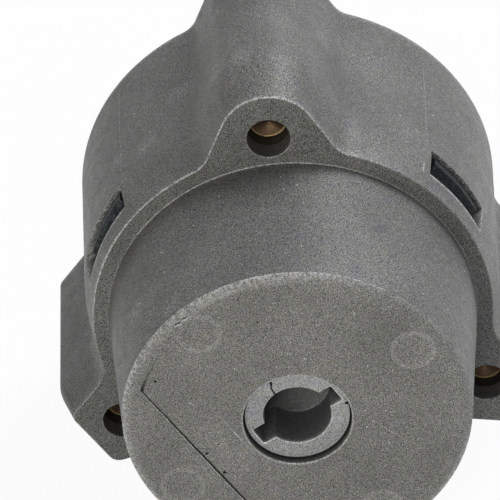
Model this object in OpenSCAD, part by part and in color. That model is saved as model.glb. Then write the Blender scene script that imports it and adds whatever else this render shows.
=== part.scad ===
// Ignition switch: a die-cast three-eared housing with a keyed driver, a detent and a set of sliding contacts.
// Modelled with the nose toward +Z and the flange face at z = 0, then turned so that the nose looks along -Y.

/* [Drum] */
// Radius of the drum at the flange face
drum_r = 24; // [23:0.5:30]
// Length of the drum behind the flange face
drum_len = 29; // [29:0.5:40]
// Length of the steeper draft just behind the flange face
shoulder_len = 6; // [4:0.5:8]
// Growth of the drum's radius along that steeper draft
shoulder_growth = 1.05; // [0.4:0.05:1.6]
// Growth of the radius from there to the rear rim
draft_growth = 0.7; // [0:0.05:1.5]
// Thickness of the drum's walls
wall = 2.4; // [2:0.1:2.8]

/* [Ears] */
// Distance of the screw holes outside the drum's front radius
ear_out = 1.6; // [1.2:0.1:3]
// Radius of an ear around its screw hole
ear_r = 5.8; // [5.4:0.1:7]
// Half width of an ear where it leaves the drum
ear_root = 9.2; // [8:0.1:10]
// Depth of that root below the screw hole
ear_root_depth = 5.1; // [4.5:0.1:6]
// Concave radius where the round ear meets the drum
ear_fillet_r = 3.4; // [2:0.1:4]
// Distance of the lower ears' flanks from the screw hole
blunt_r = 5.65; // [5.3:0.05:6.5]
// Direction in which those flanks face, in degrees above the flat end
blunt_lean = 18; // [14:1:24]
// Concave radius where a lower ear meets the drum
blunt_fillet_r = 4.5; // [3:0.1:6]
// Distance from the screw hole to the flat end of the lower ears
blunt_reach = 4.8; // [4.4:0.1:5.4]
// Radius of the corners of a flat ear end
blunt_corner_r = 1.4; // [1:0.1:2]
// Outward shift of an ear along the steeper draft
ear_shift = 1.3; // [0.6:0.1:1.6]
// Growth of an ear's half width along that draft
ear_growth = 0.6; // [0.2:0.1:1]
// Length of the solid, tapped ears behind the flange face
ear_boss_len = 13; // [10:0.5:15]

/* [Nose] */
// Width of the flange face between the nose and the drum's edge
flange_w = 1.95; // [1.5:0.05:3]
// Length of the nose in front of the flange face
nose_len = 20.5; // [18:0.5:26]
// Loss of radius along the nose by its draft
nose_draft = 1.65; // [0.8:0.05:2.2]
// Radius of the nose's rounded front edge
nose_edge_r = 1.5; // [0.8:0.1:2.2]
// Thickness of the nose's side wall
nose_wall = 2.6; // [2.2:0.1:3.2]
// Thickness of the nose's end wall
nose_end_wall = 3.2; // [2.6:0.1:4]
// Distance of the raised pad inside the nose's rounded edge
pad_inset = 0.55; // [0.4:0.05:1.5]
// Distance of the pad's straight side from the axis
pad_chord = 11.75; // [11:0.05:14]
// Height of the raised pad
pad_step = 0.2; // [0.1:0.05:0.4]
// Radius of an ejector pin's mark
mark_r = 2.65; // [2:0.05:3]
// Depth of an ejector pin's mark
mark_depth = 0.08; // [0.04:0.02:0.15]

/* [Windows] */
// Angle that a latch window spans in the drum
window_angle = 24; // [20:1:28]
// Distance from the flange face to a window
window_front = 2.95; // [2.8:0.05:4]
// Length of a window along the drum
window_len = 4.15; // [3.8:0.05:5]
// Angle by which the left window is longer at its lower end
window_extra = 4.4; // [0:0.2:6]

/* [Driver] */
// Radius of the driver in its bearing
driver_r = 6.25; // [6:0.05:6.8]
// Running clearance around turning and sliding pieces
running_gap = 0.05; // [0.03:0.01:0.08]
// Depth of the driver's face behind the nose's face
driver_recess = 0.9; // [0.5:0.1:1.5]
// Radius of the driver's socket
socket_r = 3.95; // [3.6:0.05:4.2]
// Depth of the driver's socket
socket_depth = 6; // [4:0.5:9]
// Width of the socket's two wings
wing_w = 2.35; // [2:0.05:2.5]
// Reach of the wings from the axis
wing_r = 5.45; // [5:0.05:5.6]
// Angle of the wings in the off place
wing_turn = 28; // [0:1:60]
// Width of the index slit in the driver's face
slit_w = 0.3; // [0.2:0.05:0.6]
// Wall of the driver's bearing
bearing_wall = 2.9; // [2.4:0.1:3.2]
// Distance from the flange face to the rear end of the bearing
bearing_end = 5.5; // [4.5:0.1:7]
// Radius of the driver's shaft
shaft_r = 4.5; // [4.3:0.05:4.6]
// Width across the flats of the driver's square tail
tail_w = 5.4; // [5:0.1:5.6]
// Turn of the driver from off to start, in degrees
turn_range = 105; // [90:1:110]
// Turn from one detent place to the next, in degrees
detent_turn = 36; // [30:1:38]

/* [Terminal base] */
// Clearance of the base inside the casting
fit_gap = 0.15; // [0.1:0.01:0.2]
// Thickness of the base's skirt
skirt_wall = 1.8; // [1.5:0.1:2]
// Thickness of the contact deck inside the drum
deck_t = 3.5; // [3:0.1:4.5]
// Thickness of the base's cover on the rear rim
cover_t = 1.9; // [1.5:0.1:3]
// Distance of the cover's edge inside the casting's rim
cover_inset = 1.6; // [1.2:0.1:2]
// Reach of a latch hook into its window
hook_reach = 3.15; // [2.4:0.05:3.3]
// Width of the slits beside the latch hooks
slit_gap = 2; // [1.9:0.1:2.4]
// Height of the barriers between the blades
barrier_h = 5; // [2:0.5:8]

/* [Contacts] */
// Width of a contact track
track_w = 3.4; // [3:0.1:3.6]
// Thickness of the terminal strip and its blade
strip_t = 0.8; // [0.6:0.1:1]
// Width of a blade
blade_w = 6.3; // [4.8:0.1:6.3]
// Length of a blade behind the cover
blade_len = 9; // [6:0.5:12]
// Radius of the middle of the inner track
inner_track_r = 6.8; // [6.7:0.05:7]
// Width of a contact bridge
bridge_w = 4.2; // [3.6:0.1:4.4]
// Thickness of a contact bridge
bridge_t = 1.2; // [1:0.1:1.5]
// Sprung travel of a contact bridge
bridge_float = 0.6; // [0.3:0.1:0.8]

/* [Detent] */
// Radial thickness of the detent ring between the notches
ring_wall = 3.15; // [2.8:0.05:3.4]
// Height of the detent ring
ring_h = 4.8; // [4:0.1:5]
// Radius of a detent ball
ball_r = 1.6; // [1.4:0.05:1.8]
// Travel of a ball into a notch
ball_click = 0.3; // [0.15:0.05:0.4]

/* [Screws] */
// Radius of the brass screws
screw_r = 2.42; // [2.2:0.02:2.5]
// Clearance of the screws in the tapped ears
thread_gap = 0.04; // [0.02:0.01:0.08]
// Clearance of the screws in the flange holes
flange_hole_gap = 0.15; // [0.1:0.01:0.3]
// Distance from the flange face to the screw ends
screw_setback = 3.9; // [2.8:0.1:5]
// Radius of a screw head
head_r = 4.1; // [3.6:0.1:4.4]
// Height of a screw head
head_h = 3.2; // [2.4:0.1:4]

/* [Hidden] */
$fn = 96;
eps = 0.01;
spare = 1;
EARS = [90, 210, 330];
LATCHES = [30, 150, 270];
MARKS = [30, 125, 209, 301];

// Casting
rear_z = -drum_len;
pitch_r = drum_r + ear_out;
shoulder_r = drum_r + shoulder_growth;
rim_r = shoulder_r + draft_growth;
cavity_r = drum_r - wall;
ear_cavity_r = ear_r - wall;
flange_hole_r = screw_r + flange_hole_gap;
nose_base_r = drum_r - flange_w;
nose_tip_r = nose_base_r - nose_draft;
edge_z = nose_len - pad_step;
nose_floor_z = edge_z - nose_end_wall;
pad_r = nose_tip_r - nose_edge_r - pad_inset;
mark_pitch_r = pad_r - mark_r + 0.75;
window_rear = window_front + window_len;

// Driver and its stops
bore_r = driver_r + running_gap;
bearing_r = bore_r + bearing_wall;
face_z = nose_len - driver_recess;
washer_t = 0.5;
collar_front = bearing_end - washer_t - 2 * running_gap;
collar_rear = collar_front - 2.5;
collar_r = bearing_r - 0.6;
stop_in_r = bearing_r - 0.2;
lug_r = bearing_r + 2.4;
stop_r = lug_r + 0.8;
stop_end = collar_rear - 0.2;
rib_t = 1.8;
rib_end = bearing_end + 3.5;
lug_turn = 150;
lug_half = 10;
stop_half = 7;
stop_gap = 0.6;
edge_cut = 0.25;
edge_break = 0.2;

// Stack of the base, the contacts and the rotor
skirt_r = cavity_r - fit_gap;
skirt_in_r = skirt_r - skirt_wall;
skirt_front = -wall - 2 * fit_gap;
deck_z = rear_z + deck_t;
cover_rear = rear_z - cover_t;
button_h = 0.55;
button_r = 1.2;
bar_rear = deck_z + running_gap + button_h;
bar_front = bar_rear + bridge_t;
rotor_lift = 0.3;
rotor_rear = bar_rear + rotor_lift;
spring_seat = 0.9;
pocket_front = bar_front + bridge_float + spring_seat;
pocket_gap = 0.1;
spring_room = 5;
spring_pocket_r = bridge_w / 2;
spring_front = pocket_front + spring_room;
rotor_cap = 2.6;
rotor_front = spring_front + rotor_cap;
detent_drop = 3;
detent_z = rotor_front - detent_drop;
ring_rear = detent_z - ring_h / 2;
ring_front = detent_z + ring_h / 2;
ring_r = skirt_in_r - 0.1;
crest_r = ring_r - ring_wall;
rotor_r = crest_r - 0.4;
outer_track_r = rotor_r - 2.9;
bridge_mid_r = (inner_track_r + outer_track_r) / 2;
bridge_end_r = 1.8;
ball_c = crest_r - running_gap - ball_r;
notch_r = ball_r + 0.15;
ball_bore_r = ball_r + running_gap;
ball_bore_in = ball_c - ball_r - 5;
key_w = 3;
key_h = 1;
ledge_r = ring_r - 1.6;
hub_wall = 1.1;
hub_r = shaft_r + running_gap + hub_wall;
hub_rise = 2.9;
hub_front = hub_rise - shoulder_len;
tail_end = rotor_rear + 1;

// Return spring
spring_wire_r = 0.55;
coil_gap = 0.45;
coil_r = hub_r + coil_gap + spring_wire_r;
coil_setback = 1.4;
coil_front = hub_front - coil_setback;
coil_room = 2.6;
coil_rear = rotor_front + coil_room;
coil_span = coil_front - coil_rear;
coil_turns = floor(coil_span / (2.6 * spring_wire_r));
coil_pitch = coil_span / coil_turns;
leg_slit = LATCHES[1] + window_angle / 2 + 2.5;
leg_end_r = skirt_r - coil_gap;
leg_len = sqrt(leg_end_r * leg_end_r - coil_r * coil_r);
coil_start = leg_slit + acos(coil_r / leg_end_r);
arm_len = 8.5;

// Contact places: name order is accessory, ignition, start
BRIDGES = EARS;
TRACK_FROM = [BRIDGES[0] - 80, BRIDGES[1] - 106, BRIDGES[2] - 124];
TRACK_TO = [BRIDGES[0] - 27, BRIDGES[1] - 64, BRIDGES[2] - 93];
BATTERY_BLADE = 300;
BARRIERS = [80, 174, 262, 348];

GREY = [0.56, 0.57, 0.56];
LIGHT_GREY = [0.64, 0.65, 0.65];
BRASS = [0.72, 0.55, 0.27];
COPPER = [0.72, 0.42, 0.26];
STEEL = [0.68, 0.69, 0.7];
BLACK = [0.07, 0.07, 0.09];
BROWN = [0.28, 0.17, 0.1];
IVORY = [0.86, 0.84, 0.76];

// Turns a piece from its own axis, +Z to the front, into the part's frame
module in_frame() { rotate([90, 0, 0]) children(); }

// A ring sector between two angles, with its section given by two radii and two heights
module sector(from, to, r_in, r_out, z_low, z_high) {
    rotate([0, 0, from])
        rotate_extrude(angle = to - from)
            translate([r_in, z_low]) square([r_out - r_in, z_high - z_low]);
}

// A tube between two heights
module tube(r_in, r_out, z_low, z_high) {
    translate([0, 0, z_low])
        linear_extrude(z_high - z_low)
            difference() {
                circle(r_out);
                circle(r_in);
            }
}

// A plain cylinder between two heights
module rod(r, z_low, z_high) {
    translate([0, 0, z_low]) cylinder(h = z_high - z_low, r = r);
}

// A round wire along a path
function unit(v) = v / norm(v);
function along(p, i) = unit(p[min(i + 1, len(p) - 1)] - p[max(i - 1, 0)]);
module wire(path, r, sides) {
    n = len(path);
    points = [for (i = [0 : n - 1])
        let (t = along(path, i), a = unit(cross([0, 0, 1], t)), b = cross(t, a))
        for (k = [0 : sides - 1]) path[i] + r * (cos(360 * k / sides) * a + sin(360 * k / sides) * b)];
    faces = concat(
        [[for (k = [0 : sides - 1]) sides - 1 - k]],
        [[for (k = [0 : sides - 1]) (n - 1) * sides + k]],
        [for (i = [0 : n - 2]) for (k = [0 : sides - 1])
            let (a = i * sides + k, b = i * sides + (k + 1) % sides)
            each [[a, b, b + sides], [a, b + sides, a + sides]]]);
    polyhedron(points, faces, convexity = 6);
}

// A compression spring that stands on z = 0
module coil_spring(length, mean_r, wire_r, turns) {
    steps = 14;
    rise = length - 2 * wire_r - 2 * running_gap;
    wire([for (i = [0 : turns * steps])
        [mean_r * cos(360 * i / steps), mean_r * sin(360 * i / steps),
            wire_r + running_gap + rise * i / (turns * steps)]], wire_r, 6);
}

// Outline of the drum with a round ear on top and two blunt ears below, counter-clockwise.
// A section is [height, drum radius, outward shift of the ears, growth of the ears].
// Half an ear is drawn on +Y from the drum out to its end; its flank faces in the direction tilt.
function arc(c, r, from, to, n) =
    [for (i = [0 : n]) c + r * [cos(from + (to - from) * i / n), sin(from + (to - from) * i / n)]];
function turned(p, a) = [p.x * cos(a) - p.y * sin(a), p.x * sin(a) + p.y * cos(a)];
lean = atan2(-ear_root_depth, ear_root) + acos(ear_r / norm([ear_root, ear_root_depth]));
function foot_c(r, c, flank_r, tilt, fillet_r) =
    let (flank = [sin(tilt), -cos(tilt)], start = c + (flank_r + fillet_r) * [cos(tilt), sin(tilt)],
        run = -(start * flank) - sqrt(pow(start * flank, 2) - start * start + pow(r + fillet_r, 2)))
    start + run * flank;
function foot(r, c, flank_r, tilt, fillet_r) =
    let (m = foot_c(r, c, flank_r, tilt, fillet_r)) arc(m, fillet_r, atan2(-m.y, -m.x), tilt - 180, 6);
function corner_c(c, flank_r, reach) =
    let (flank = [sin(blunt_lean), -cos(blunt_lean)],
        start = c + (flank_r - blunt_corner_r) * [cos(blunt_lean), sin(blunt_lean)])
    start + flank * (c.y + reach - blunt_corner_r - start.y) / flank.y;
function round_half(s) =
    let (c = [0, pitch_r + s[2]], r = ear_r + s[3])
    concat(foot(s[1], c, r, lean, ear_fillet_r), arc(c, r, lean, 90, 9));
function blunt_half(s) =
    let (c = [0, pitch_r + s[2]], r = blunt_r + s[3])
    concat(foot(s[1], c, r, blunt_lean, blunt_fillet_r),
        arc(corner_c(c, r, blunt_reach + s[3]), blunt_corner_r, blunt_lean, 90, 5));
function half_ear(s, i) = i == 0 ? round_half(s) : blunt_half(s);
function whole_ear(s, i) =
    let (half = half_ear(s, i))
    concat(half, [for (k = [len(half) - (i == 0 ? 2 : 1) : -1 : 0]) [-half[k].x, half[k].y]]);
function foot_angle(s, i) = let (p = half_ear(s, i)[0]) 90 - atan2(p.y, p.x);
DRUM_STEPS = 20;
function outline(s) = [for (i = [0 : 2])
    let (from = EARS[i] + foot_angle(s, i), to = EARS[i] + 120 - foot_angle(s, (i + 1) % 3))
    each concat([for (p = whole_ear(s, i)) turned(p, EARS[i] - 90)],
        [for (k = [1 : DRUM_STEPS - 1])
            let (a = from + (to - from) * k / DRUM_STEPS) s[1] * [cos(a), sin(a)]])];
RIM = [-drum_len, rim_r, ear_shift + 0.2 * draft_growth, ear_growth + 0.4 * draft_growth];
SHOULDER = [-shoulder_len, shoulder_r, ear_shift, ear_growth];
EDGE = SHOULDER * edge_break / shoulder_len + [0, drum_r * (1 - edge_break / shoulder_len), 0, 0];
FRONT = [0, drum_r - edge_break, 0, -edge_break];

// Bay behind each ear, drawn smaller by a gap for what fits inside
module bays(gap = 0) {
    bay = ear_cavity_r - gap;
    neck = 0.92 * bay;
    for (a = EARS)
        rotate(a - 90) {
            translate([0, pitch_r]) circle(bay);
            translate([-neck, skirt_in_r]) square([2 * neck, pitch_r - skirt_in_r]);
        }
}

// Solid drum with its ears: the outline at each height, drafted in two stages, with the flange edge broken.
// The sections run past both ends, and the flat ends are cut after.
module drum_body() {
    sections = [RIM + (RIM - SHOULDER) * spare / (drum_len - shoulder_len), SHOULDER, EDGE, 2 * FRONT - EDGE];
    n = len(outline(RIM));
    intersection() {
        polyhedron(
            [for (s = sections) for (p = outline(s)) [p.x, p.y, s[0]]],
            concat([[for (k = [0 : n - 1]) k]],
                [for (i = [0 : len(sections) - 2]) for (k = [0 : n - 1])
                    let (a = i * n + k, b = i * n + (k + 1) % n)
                    each [[a, a + n, b + n], [a, b + n, b]]],
                [[for (k = [0 : n - 1]) len(sections) * n - 1 - k]]),
            convexity = 6);
        rod(2 * drum_r, rear_z, 0);
    }
}

// Solid nose with its rounded edge and the raised pad
module nose_body() {
    bends = 9;
    rotate_extrude()
        polygon(concat([[0, -wall], [nose_base_r, -wall], [nose_base_r, 0]],
            [for (i = [0 : bends])
                [nose_tip_r - nose_edge_r * (1 - cos(90 * i / bends)),
                    edge_z - nose_edge_r * (1 - sin(90 * i / bends))]],
            [[0, edge_z]]));
    intersection() {
        rod(pad_r, edge_z - spare, nose_len);
        rotate([0, 0, EARS[1]])
            translate([pad_chord - 2 * pad_r, -pad_r, edge_z - spare])
                cube([2 * pad_r, 2 * pad_r, 2 * spare]);
    }
}

// Hollow of the nose around the bearing, its ribs and the turn stops
module nose_hollow() {
    difference() {
        translate([0, 0, -wall - spare])
            cylinder(h = nose_floor_z + wall + spare, r1 = nose_base_r - nose_wall, r2 = nose_tip_r - nose_wall);
        rod(bearing_r, bearing_end, nose_len);
        for (a = EARS)
            rotate([0, 0, a])
                translate([bearing_r - spare, -rib_t / 2, rib_end]) cube([nose_base_r, rib_t, nose_len]);
        turn_stops();
    }
}

module turn_stops() {
    reach = lug_half + stop_gap;
    sector(lug_turn + reach, lug_turn + reach + 2 * stop_half, stop_in_r, stop_r, stop_end, nose_len);
    sector(lug_turn - turn_range - reach - 2 * stop_half, lug_turn - turn_range - reach,
        stop_in_r, stop_r, stop_end, nose_len);
}

module housing() {
    color(GREY) in_frame()
        difference() {
            union() {
                drum_body();
                nose_body();
            }
            rod(cavity_r, rear_z - spare, -wall);
            translate([0, 0, rear_z - spare])
                linear_extrude(drum_len - ear_boss_len + spare) bays();
            nose_hollow();
            rod(bore_r, bearing_end - spare, nose_len + spare);
            translate([0, 0, nose_len - edge_cut])
                cylinder(h = 2 * edge_cut, r1 = bore_r, r2 = bore_r + 2 * edge_cut);
            for (a = EARS)
                rotate([0, 0, a]) translate([pitch_r, 0, 0]) {
                    rod(flange_hole_r, -wall, spare);
                    rod(screw_r + thread_gap, -ear_boss_len - spare, spare);
                }
            for (a = LATCHES)
                sector(a - window_angle / 2, a + window_angle / 2 + (a == LATCHES[1] ? window_extra : 0),
                    cavity_r - spare, rim_r + 2 * spare, -window_rear, -window_front);
            for (a = MARKS)
                rotate([0, 0, a]) translate([mark_pitch_r, 0, 0])
                    rod(mark_r, (a == MARKS[2] ? edge_z : nose_len) - mark_depth, nose_len + spare);
        }
}

module driver() {
    color(LIGHT_GREY) in_frame()
        difference() {
            union() {
                rod(driver_r, collar_rear, face_z - edge_cut);
                translate([0, 0, face_z - edge_cut])
                    cylinder(h = edge_cut, r1 = driver_r, r2 = driver_r - edge_cut);
                rod(collar_r, collar_rear, collar_front);
                sector(lug_turn - lug_half, lug_turn + lug_half, collar_r - spare, lug_r, collar_rear, collar_front);
                rod(shaft_r, rotor_front + running_gap, collar_rear + spare);
                translate([-tail_w / 2, -tail_w / 2, tail_end])
                    cube([tail_w, tail_w, rotor_front - tail_end + spare]);
            }
            rod(socket_r, face_z - socket_depth, face_z + spare);
            rotate([0, 0, wing_turn])
                translate([-wing_r, -wing_w / 2, face_z - socket_depth])
                    cube([2 * wing_r, wing_w, socket_depth + spare]);
            rotate([0, 0, wing_turn + 92])
                translate([socket_r - spare, -slit_w / 2, face_z - 2 * slit_w])
                    cube([driver_r, slit_w, spare]);
        }
}

module thrust_washer() {
    color(STEEL) in_frame()
        tube(driver_r + 2 * running_gap, collar_r - running_gap, collar_front + running_gap,
            bearing_end - running_gap);
}

// Room for the terminals in the deck and the cover
module terminal_seats() {
    strip(inner_track_r, 0, 360, BATTERY_BLADE, running_gap);
    for (i = [0 : 2]) strip(outer_track_r, TRACK_FROM[i], TRACK_TO[i], (TRACK_FROM[i] + TRACK_TO[i]) / 2, running_gap);
}

// Latch hook with a square catch to the rear and a ramp to the front
module latch_hook(a) {
    half = window_angle / 2 - 2;
    rotate([0, 0, a - half])
        rotate_extrude(angle = 2 * half)
            polygon([[skirt_in_r + 0.2, -window_rear + 0.25], [skirt_r + hook_reach, -window_rear + 0.25],
                [skirt_r + hook_reach, -window_rear + 1.4], [skirt_r + 0.6, -window_front - 0.4],
                [skirt_in_r + 0.2, -window_front - 0.4]]);
}

module terminal_base() {
    color(BLACK) in_frame()
        difference() {
            union() {
                translate([0, 0, cover_rear])
                    linear_extrude(cover_t) polygon(outline(RIM - cover_inset * [0, 1, 0, 1]));
                translate([0, 0, rear_z - eps])
                    linear_extrude(drum_len - ear_boss_len - fit_gap + eps) bays(fit_gap);
                rod(skirt_r, rear_z - eps, skirt_front);
                for (a = LATCHES) latch_hook(a);
                for (a = BARRIERS)
                    rotate([0, 0, a])
                        translate([blade_w / 2, -rib_t / 2, cover_rear - barrier_h])
                            cube([outer_track_r + 3 - blade_w / 2, rib_t, barrier_h + spare]);
            }
            rod(ledge_r, deck_z, spare);
            rod(skirt_in_r, ring_rear - running_gap, spare);
            terminal_seats();
            for (a = EARS)
                rotate([0, 0, a]) translate([pitch_r, 0, 0])
                    rod(screw_r + fit_gap, cover_rear - spare, spare);
            for (a = LATCHES, side = [-1, 1])
                rotate([0, 0, a + side * (window_angle / 2 + 2.5)])
                    translate([skirt_in_r - spare, -slit_gap / 2, ring_front + 0.4])
                        cube([skirt_wall + 2 * spare, slit_gap, drum_len]);
            for (a = [0, 180])
                rotate([0, 0, a])
                    translate([skirt_in_r - spare, -key_w / 2 - running_gap, ring_rear - running_gap])
                        cube([key_h + spare + running_gap, key_w + 2 * running_gap, drum_len]);
        }
}

module fixing_screws() {
    cut = 0.3;
    color(BRASS) in_frame()
        for (a = EARS)
            rotate([0, 0, a]) translate([pitch_r, 0, 0])
                difference() {
                    union() {
                        rod(screw_r, cover_rear - eps, -screw_setback - cut);
                        translate([0, 0, -screw_setback - cut])
                            cylinder(h = cut, r1 = screw_r, r2 = screw_r - cut);
                        rod(head_r, cover_rear - head_h, cover_rear);
                    }
                    translate([-head_r - spare, -0.6, cover_rear - head_h - spare])
                        cube([2 * head_r + 2 * spare, 1.2, spare + 1.4]);
                }
}

// A contact track let into the deck, with its blade to the rear; grow makes the room that it needs
module strip(mid_r, from, to, blade_at, grow = 0) {
    swing = grow * 180 / (PI * mid_r);
    tip = 1.5;
    low = cover_rear - blade_len;
    sector(from - (to - from < 360 ? swing : 0), to + (to - from < 360 ? swing : 0), mid_r - track_w / 2 - grow,
        mid_r + track_w / 2 + grow, deck_z - strip_t - grow, deck_z + (grow > 0 ? spare : 0));
    rotate([0, 0, blade_at])
        difference() {
            translate([mid_r + strip_t / 2 + grow, 0, 0])
                rotate([0, -90, 0])
                    linear_extrude(strip_t + 2 * grow)
                        polygon([[low, -blade_w / 2 + tip], [low + tip, -blade_w / 2 - grow],
                            [deck_z - strip_t / 2, -blade_w / 2 - grow], [deck_z - strip_t / 2, blade_w / 2 + grow],
                            [low + tip, blade_w / 2 + grow], [low, blade_w / 2 - tip]]);
            if (grow == 0)
                translate([mid_r - spare, 0, low + 2.6 * tip])
                    rotate([0, 90, 0]) cylinder(h = 2 * spare, r = 0.85);
        }
}

module outer_terminal(i) {
    color(BRASS) in_frame()
        strip(outer_track_r, TRACK_FROM[i], TRACK_TO[i], (TRACK_FROM[i] + TRACK_TO[i]) / 2);
}
module battery_terminal() { color(BRASS) in_frame() strip(inner_track_r, 0, 360, BATTERY_BLADE); }
module accessory_terminal() { outer_terminal(0); }
module ignition_terminal() { outer_terminal(1); }
module start_terminal() { outer_terminal(2); }

// Plan of a contact bridge along +X, drawn larger by a gap for its pocket
module bridge_plan(gap = 0) {
    from = inner_track_r - bridge_end_r;
    to = outer_track_r + bridge_end_r;
    translate([from - gap, -bridge_w / 2 - gap]) square([to - from + 2 * gap, bridge_w + 2 * gap]);
}

module contact_rotor() {
    color(BROWN) in_frame()
        difference() {
            union() {
                rod(rotor_r, rotor_rear, rotor_front);
                rod(hub_r, rotor_front - spare, hub_front);
                sector(205, 221, coil_r + 2.4, coil_r + 4.9, rotor_front - spare, coil_rear + 1.5);
            }
            rod(shaft_r + running_gap, rotor_front, hub_front + spare);
            translate([-tail_w / 2 - running_gap, -tail_w / 2 - running_gap, rotor_rear - spare])
                cube([tail_w + 2 * running_gap, tail_w + 2 * running_gap, rotor_front - rotor_rear + 2 * spare]);
            for (a = BRIDGES)
                rotate([0, 0, a]) {
                    translate([0, 0, rotor_rear - spare])
                        linear_extrude(pocket_front - rotor_rear + spare) bridge_plan(pocket_gap);
                    translate([bridge_mid_r, 0, 0]) rod(spring_pocket_r, rotor_rear, spring_front);
                }
            for (a = [0, 180])
                rotate([0, 0, a])
                    translate([ball_bore_in, 0, detent_z])
                        rotate([0, 90, 0]) cylinder(h = rotor_r, r = ball_bore_r);
        }
}

module contact_bridge(i) {
    color(COPPER) in_frame()
        rotate([0, 0, BRIDGES[i]]) {
            translate([0, 0, bar_rear]) linear_extrude(bridge_t) bridge_plan();
            for (r = [inner_track_r, outer_track_r])
                translate([r, 0, 0]) rod(button_r, bar_rear - button_h, bar_rear + eps);
        }
}
module accessory_bridge() { contact_bridge(0); }
module ignition_bridge() { contact_bridge(1); }
module start_bridge() { contact_bridge(2); }

module contact_spring(i) {
    color(STEEL) in_frame()
        rotate([0, 0, BRIDGES[i]])
            translate([bridge_mid_r, 0, bar_front])
                coil_spring(spring_front - bar_front, spring_pocket_r - 0.6, 0.25, 5);
}
module accessory_spring() { contact_spring(0); }
module ignition_spring() { contact_spring(1); }
module start_spring() { contact_spring(2); }

module detent_ring() {
    color(IVORY) in_frame()
        difference() {
            union() {
                tube(crest_r, ring_r, ring_rear, ring_front);
                for (a = [0, 180])
                    rotate([0, 0, a])
                        translate([ring_r - spare, -key_w / 2, ring_rear])
                            cube([key_h + spare, key_w, ring_h]);
            }
            for (a = [0, 180], turn = [0, detent_turn, 2 * detent_turn, turn_range])
                rotate([0, 0, a - turn])
                    translate([ball_c + ball_click, 0, 0]) rod(notch_r, ring_rear - spare, ring_front + spare);
        }
}

module detent_ball(a) {
    color(STEEL) in_frame()
        rotate([0, 0, a]) translate([ball_c, 0, detent_z]) sphere(ball_r);
}
module right_ball() { detent_ball(0); }
module left_ball() { detent_ball(180); }

module ball_spring(a) {
    color(STEEL) in_frame()
        rotate([0, 0, a])
            translate([ball_bore_in, 0, detent_z])
                rotate([0, 90, 0]) coil_spring(ball_c - ball_r - ball_bore_in + 0.3, 1.1, 0.2, 6);
}
module right_ball_spring() { ball_spring(0); }
module left_ball_spring() { ball_spring(180); }

// Torsion spring: one leg rests in a slit of the skirt, the other waits for the rotor's dog
module return_spring() {
    steps = 18;
    turns = coil_turns * steps;
    start = [coil_r * cos(coil_start), coil_r * sin(coil_start), coil_front];
    back = [sin(coil_start), -cos(coil_start), 0];
    coil = [for (i = [0 : turns])
        [coil_r * cos(coil_start + 360 * i / steps), coil_r * sin(coil_start + 360 * i / steps),
            coil_front - coil_pitch * i / steps]];
    last = coil[turns];
    on = [-sin(coil_start), cos(coil_start), 0];
    color(STEEL) in_frame()
        wire(concat([start + leg_len * back], coil, [last + arm_len * on]), spring_wire_r, 8);
}

housing();
driver();
thrust_washer();
terminal_base();
fixing_screws();
battery_terminal();
accessory_terminal();
ignition_terminal();
start_terminal();
contact_rotor();
accessory_bridge();
ignition_bridge();
start_bridge();
accessory_spring();
ignition_spring();
start_spring();
detent_ring();
right_ball();
left_ball();
right_ball_spring();
left_ball_spring();
return_spring();
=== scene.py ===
# %% [markdown]
# # Ignition switch: dressing a measured casting
#
# The object is the switch behind a vehicle's key lock. A zinc die casting forms the drum, three ears and a
# drafted nose. A smaller one, the driver, turns in the nose and has a winged socket for the lock's tail. A
# dark plastic base closes the rear and carries four push-on blades. The CAD model has fixed each size and
# joint. This notebook keeps that frame and adds what a drawing leaves out: cast skin, worn edges, turned
# brass, moulded plastic and the light of a studio.

# %% Load the frame
import random
from math import acos, atan2, cos, degrees, pi, radians, sin, sqrt

import bmesh
import bpy
from mathutils import Matrix, Vector


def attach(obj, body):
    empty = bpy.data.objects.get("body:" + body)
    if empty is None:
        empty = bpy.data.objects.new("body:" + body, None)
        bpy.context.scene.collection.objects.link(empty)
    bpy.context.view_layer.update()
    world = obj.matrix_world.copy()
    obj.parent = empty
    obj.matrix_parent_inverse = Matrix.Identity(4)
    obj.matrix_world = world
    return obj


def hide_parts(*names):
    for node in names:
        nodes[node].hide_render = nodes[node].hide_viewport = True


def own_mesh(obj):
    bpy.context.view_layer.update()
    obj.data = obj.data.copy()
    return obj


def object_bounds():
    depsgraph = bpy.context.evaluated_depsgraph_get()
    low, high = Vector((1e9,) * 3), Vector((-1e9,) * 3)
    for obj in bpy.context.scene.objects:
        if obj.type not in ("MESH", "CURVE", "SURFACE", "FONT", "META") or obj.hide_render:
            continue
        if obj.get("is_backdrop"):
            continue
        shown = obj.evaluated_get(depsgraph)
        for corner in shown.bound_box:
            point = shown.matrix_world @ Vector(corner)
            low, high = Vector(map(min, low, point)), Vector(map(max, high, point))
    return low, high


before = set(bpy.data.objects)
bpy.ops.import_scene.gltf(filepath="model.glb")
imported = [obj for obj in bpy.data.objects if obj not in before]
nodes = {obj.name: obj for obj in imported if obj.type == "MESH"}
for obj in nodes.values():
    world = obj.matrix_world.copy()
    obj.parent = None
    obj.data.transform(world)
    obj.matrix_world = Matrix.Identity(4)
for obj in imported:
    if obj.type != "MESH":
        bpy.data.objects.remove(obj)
cad_low, cad_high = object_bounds()
MM = 0.001
print("CAD pieces:", len(nodes), "box in mm:", [round(v / MM, 1) for v in cad_high - cad_low])

# %% [markdown]
# ## Where the photographer stood
#
# The flange, the drum's rim and the nose's edge are circles that show as ellipses. How flat they are gives
# the tilt, how far apart they lie the depth, and the small change of size the distance: half a metre with a
# long lens. The switch is not in the middle of the picture. A shifted lens could do that, but here the
# camera looks a little past the switch, as the photographer did.

# %% Camera
TILT = radians(35.67)
SPIN = radians(4.5)
ROLL = radians(-2.4)
DISTANCE = 0.5
FOCAL_PX = 4176
IMAGE_PX = 500
FLANGE_PX = (293.25, 316.7)
SENSOR_MM = 36
scene = bpy.context.scene


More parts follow.
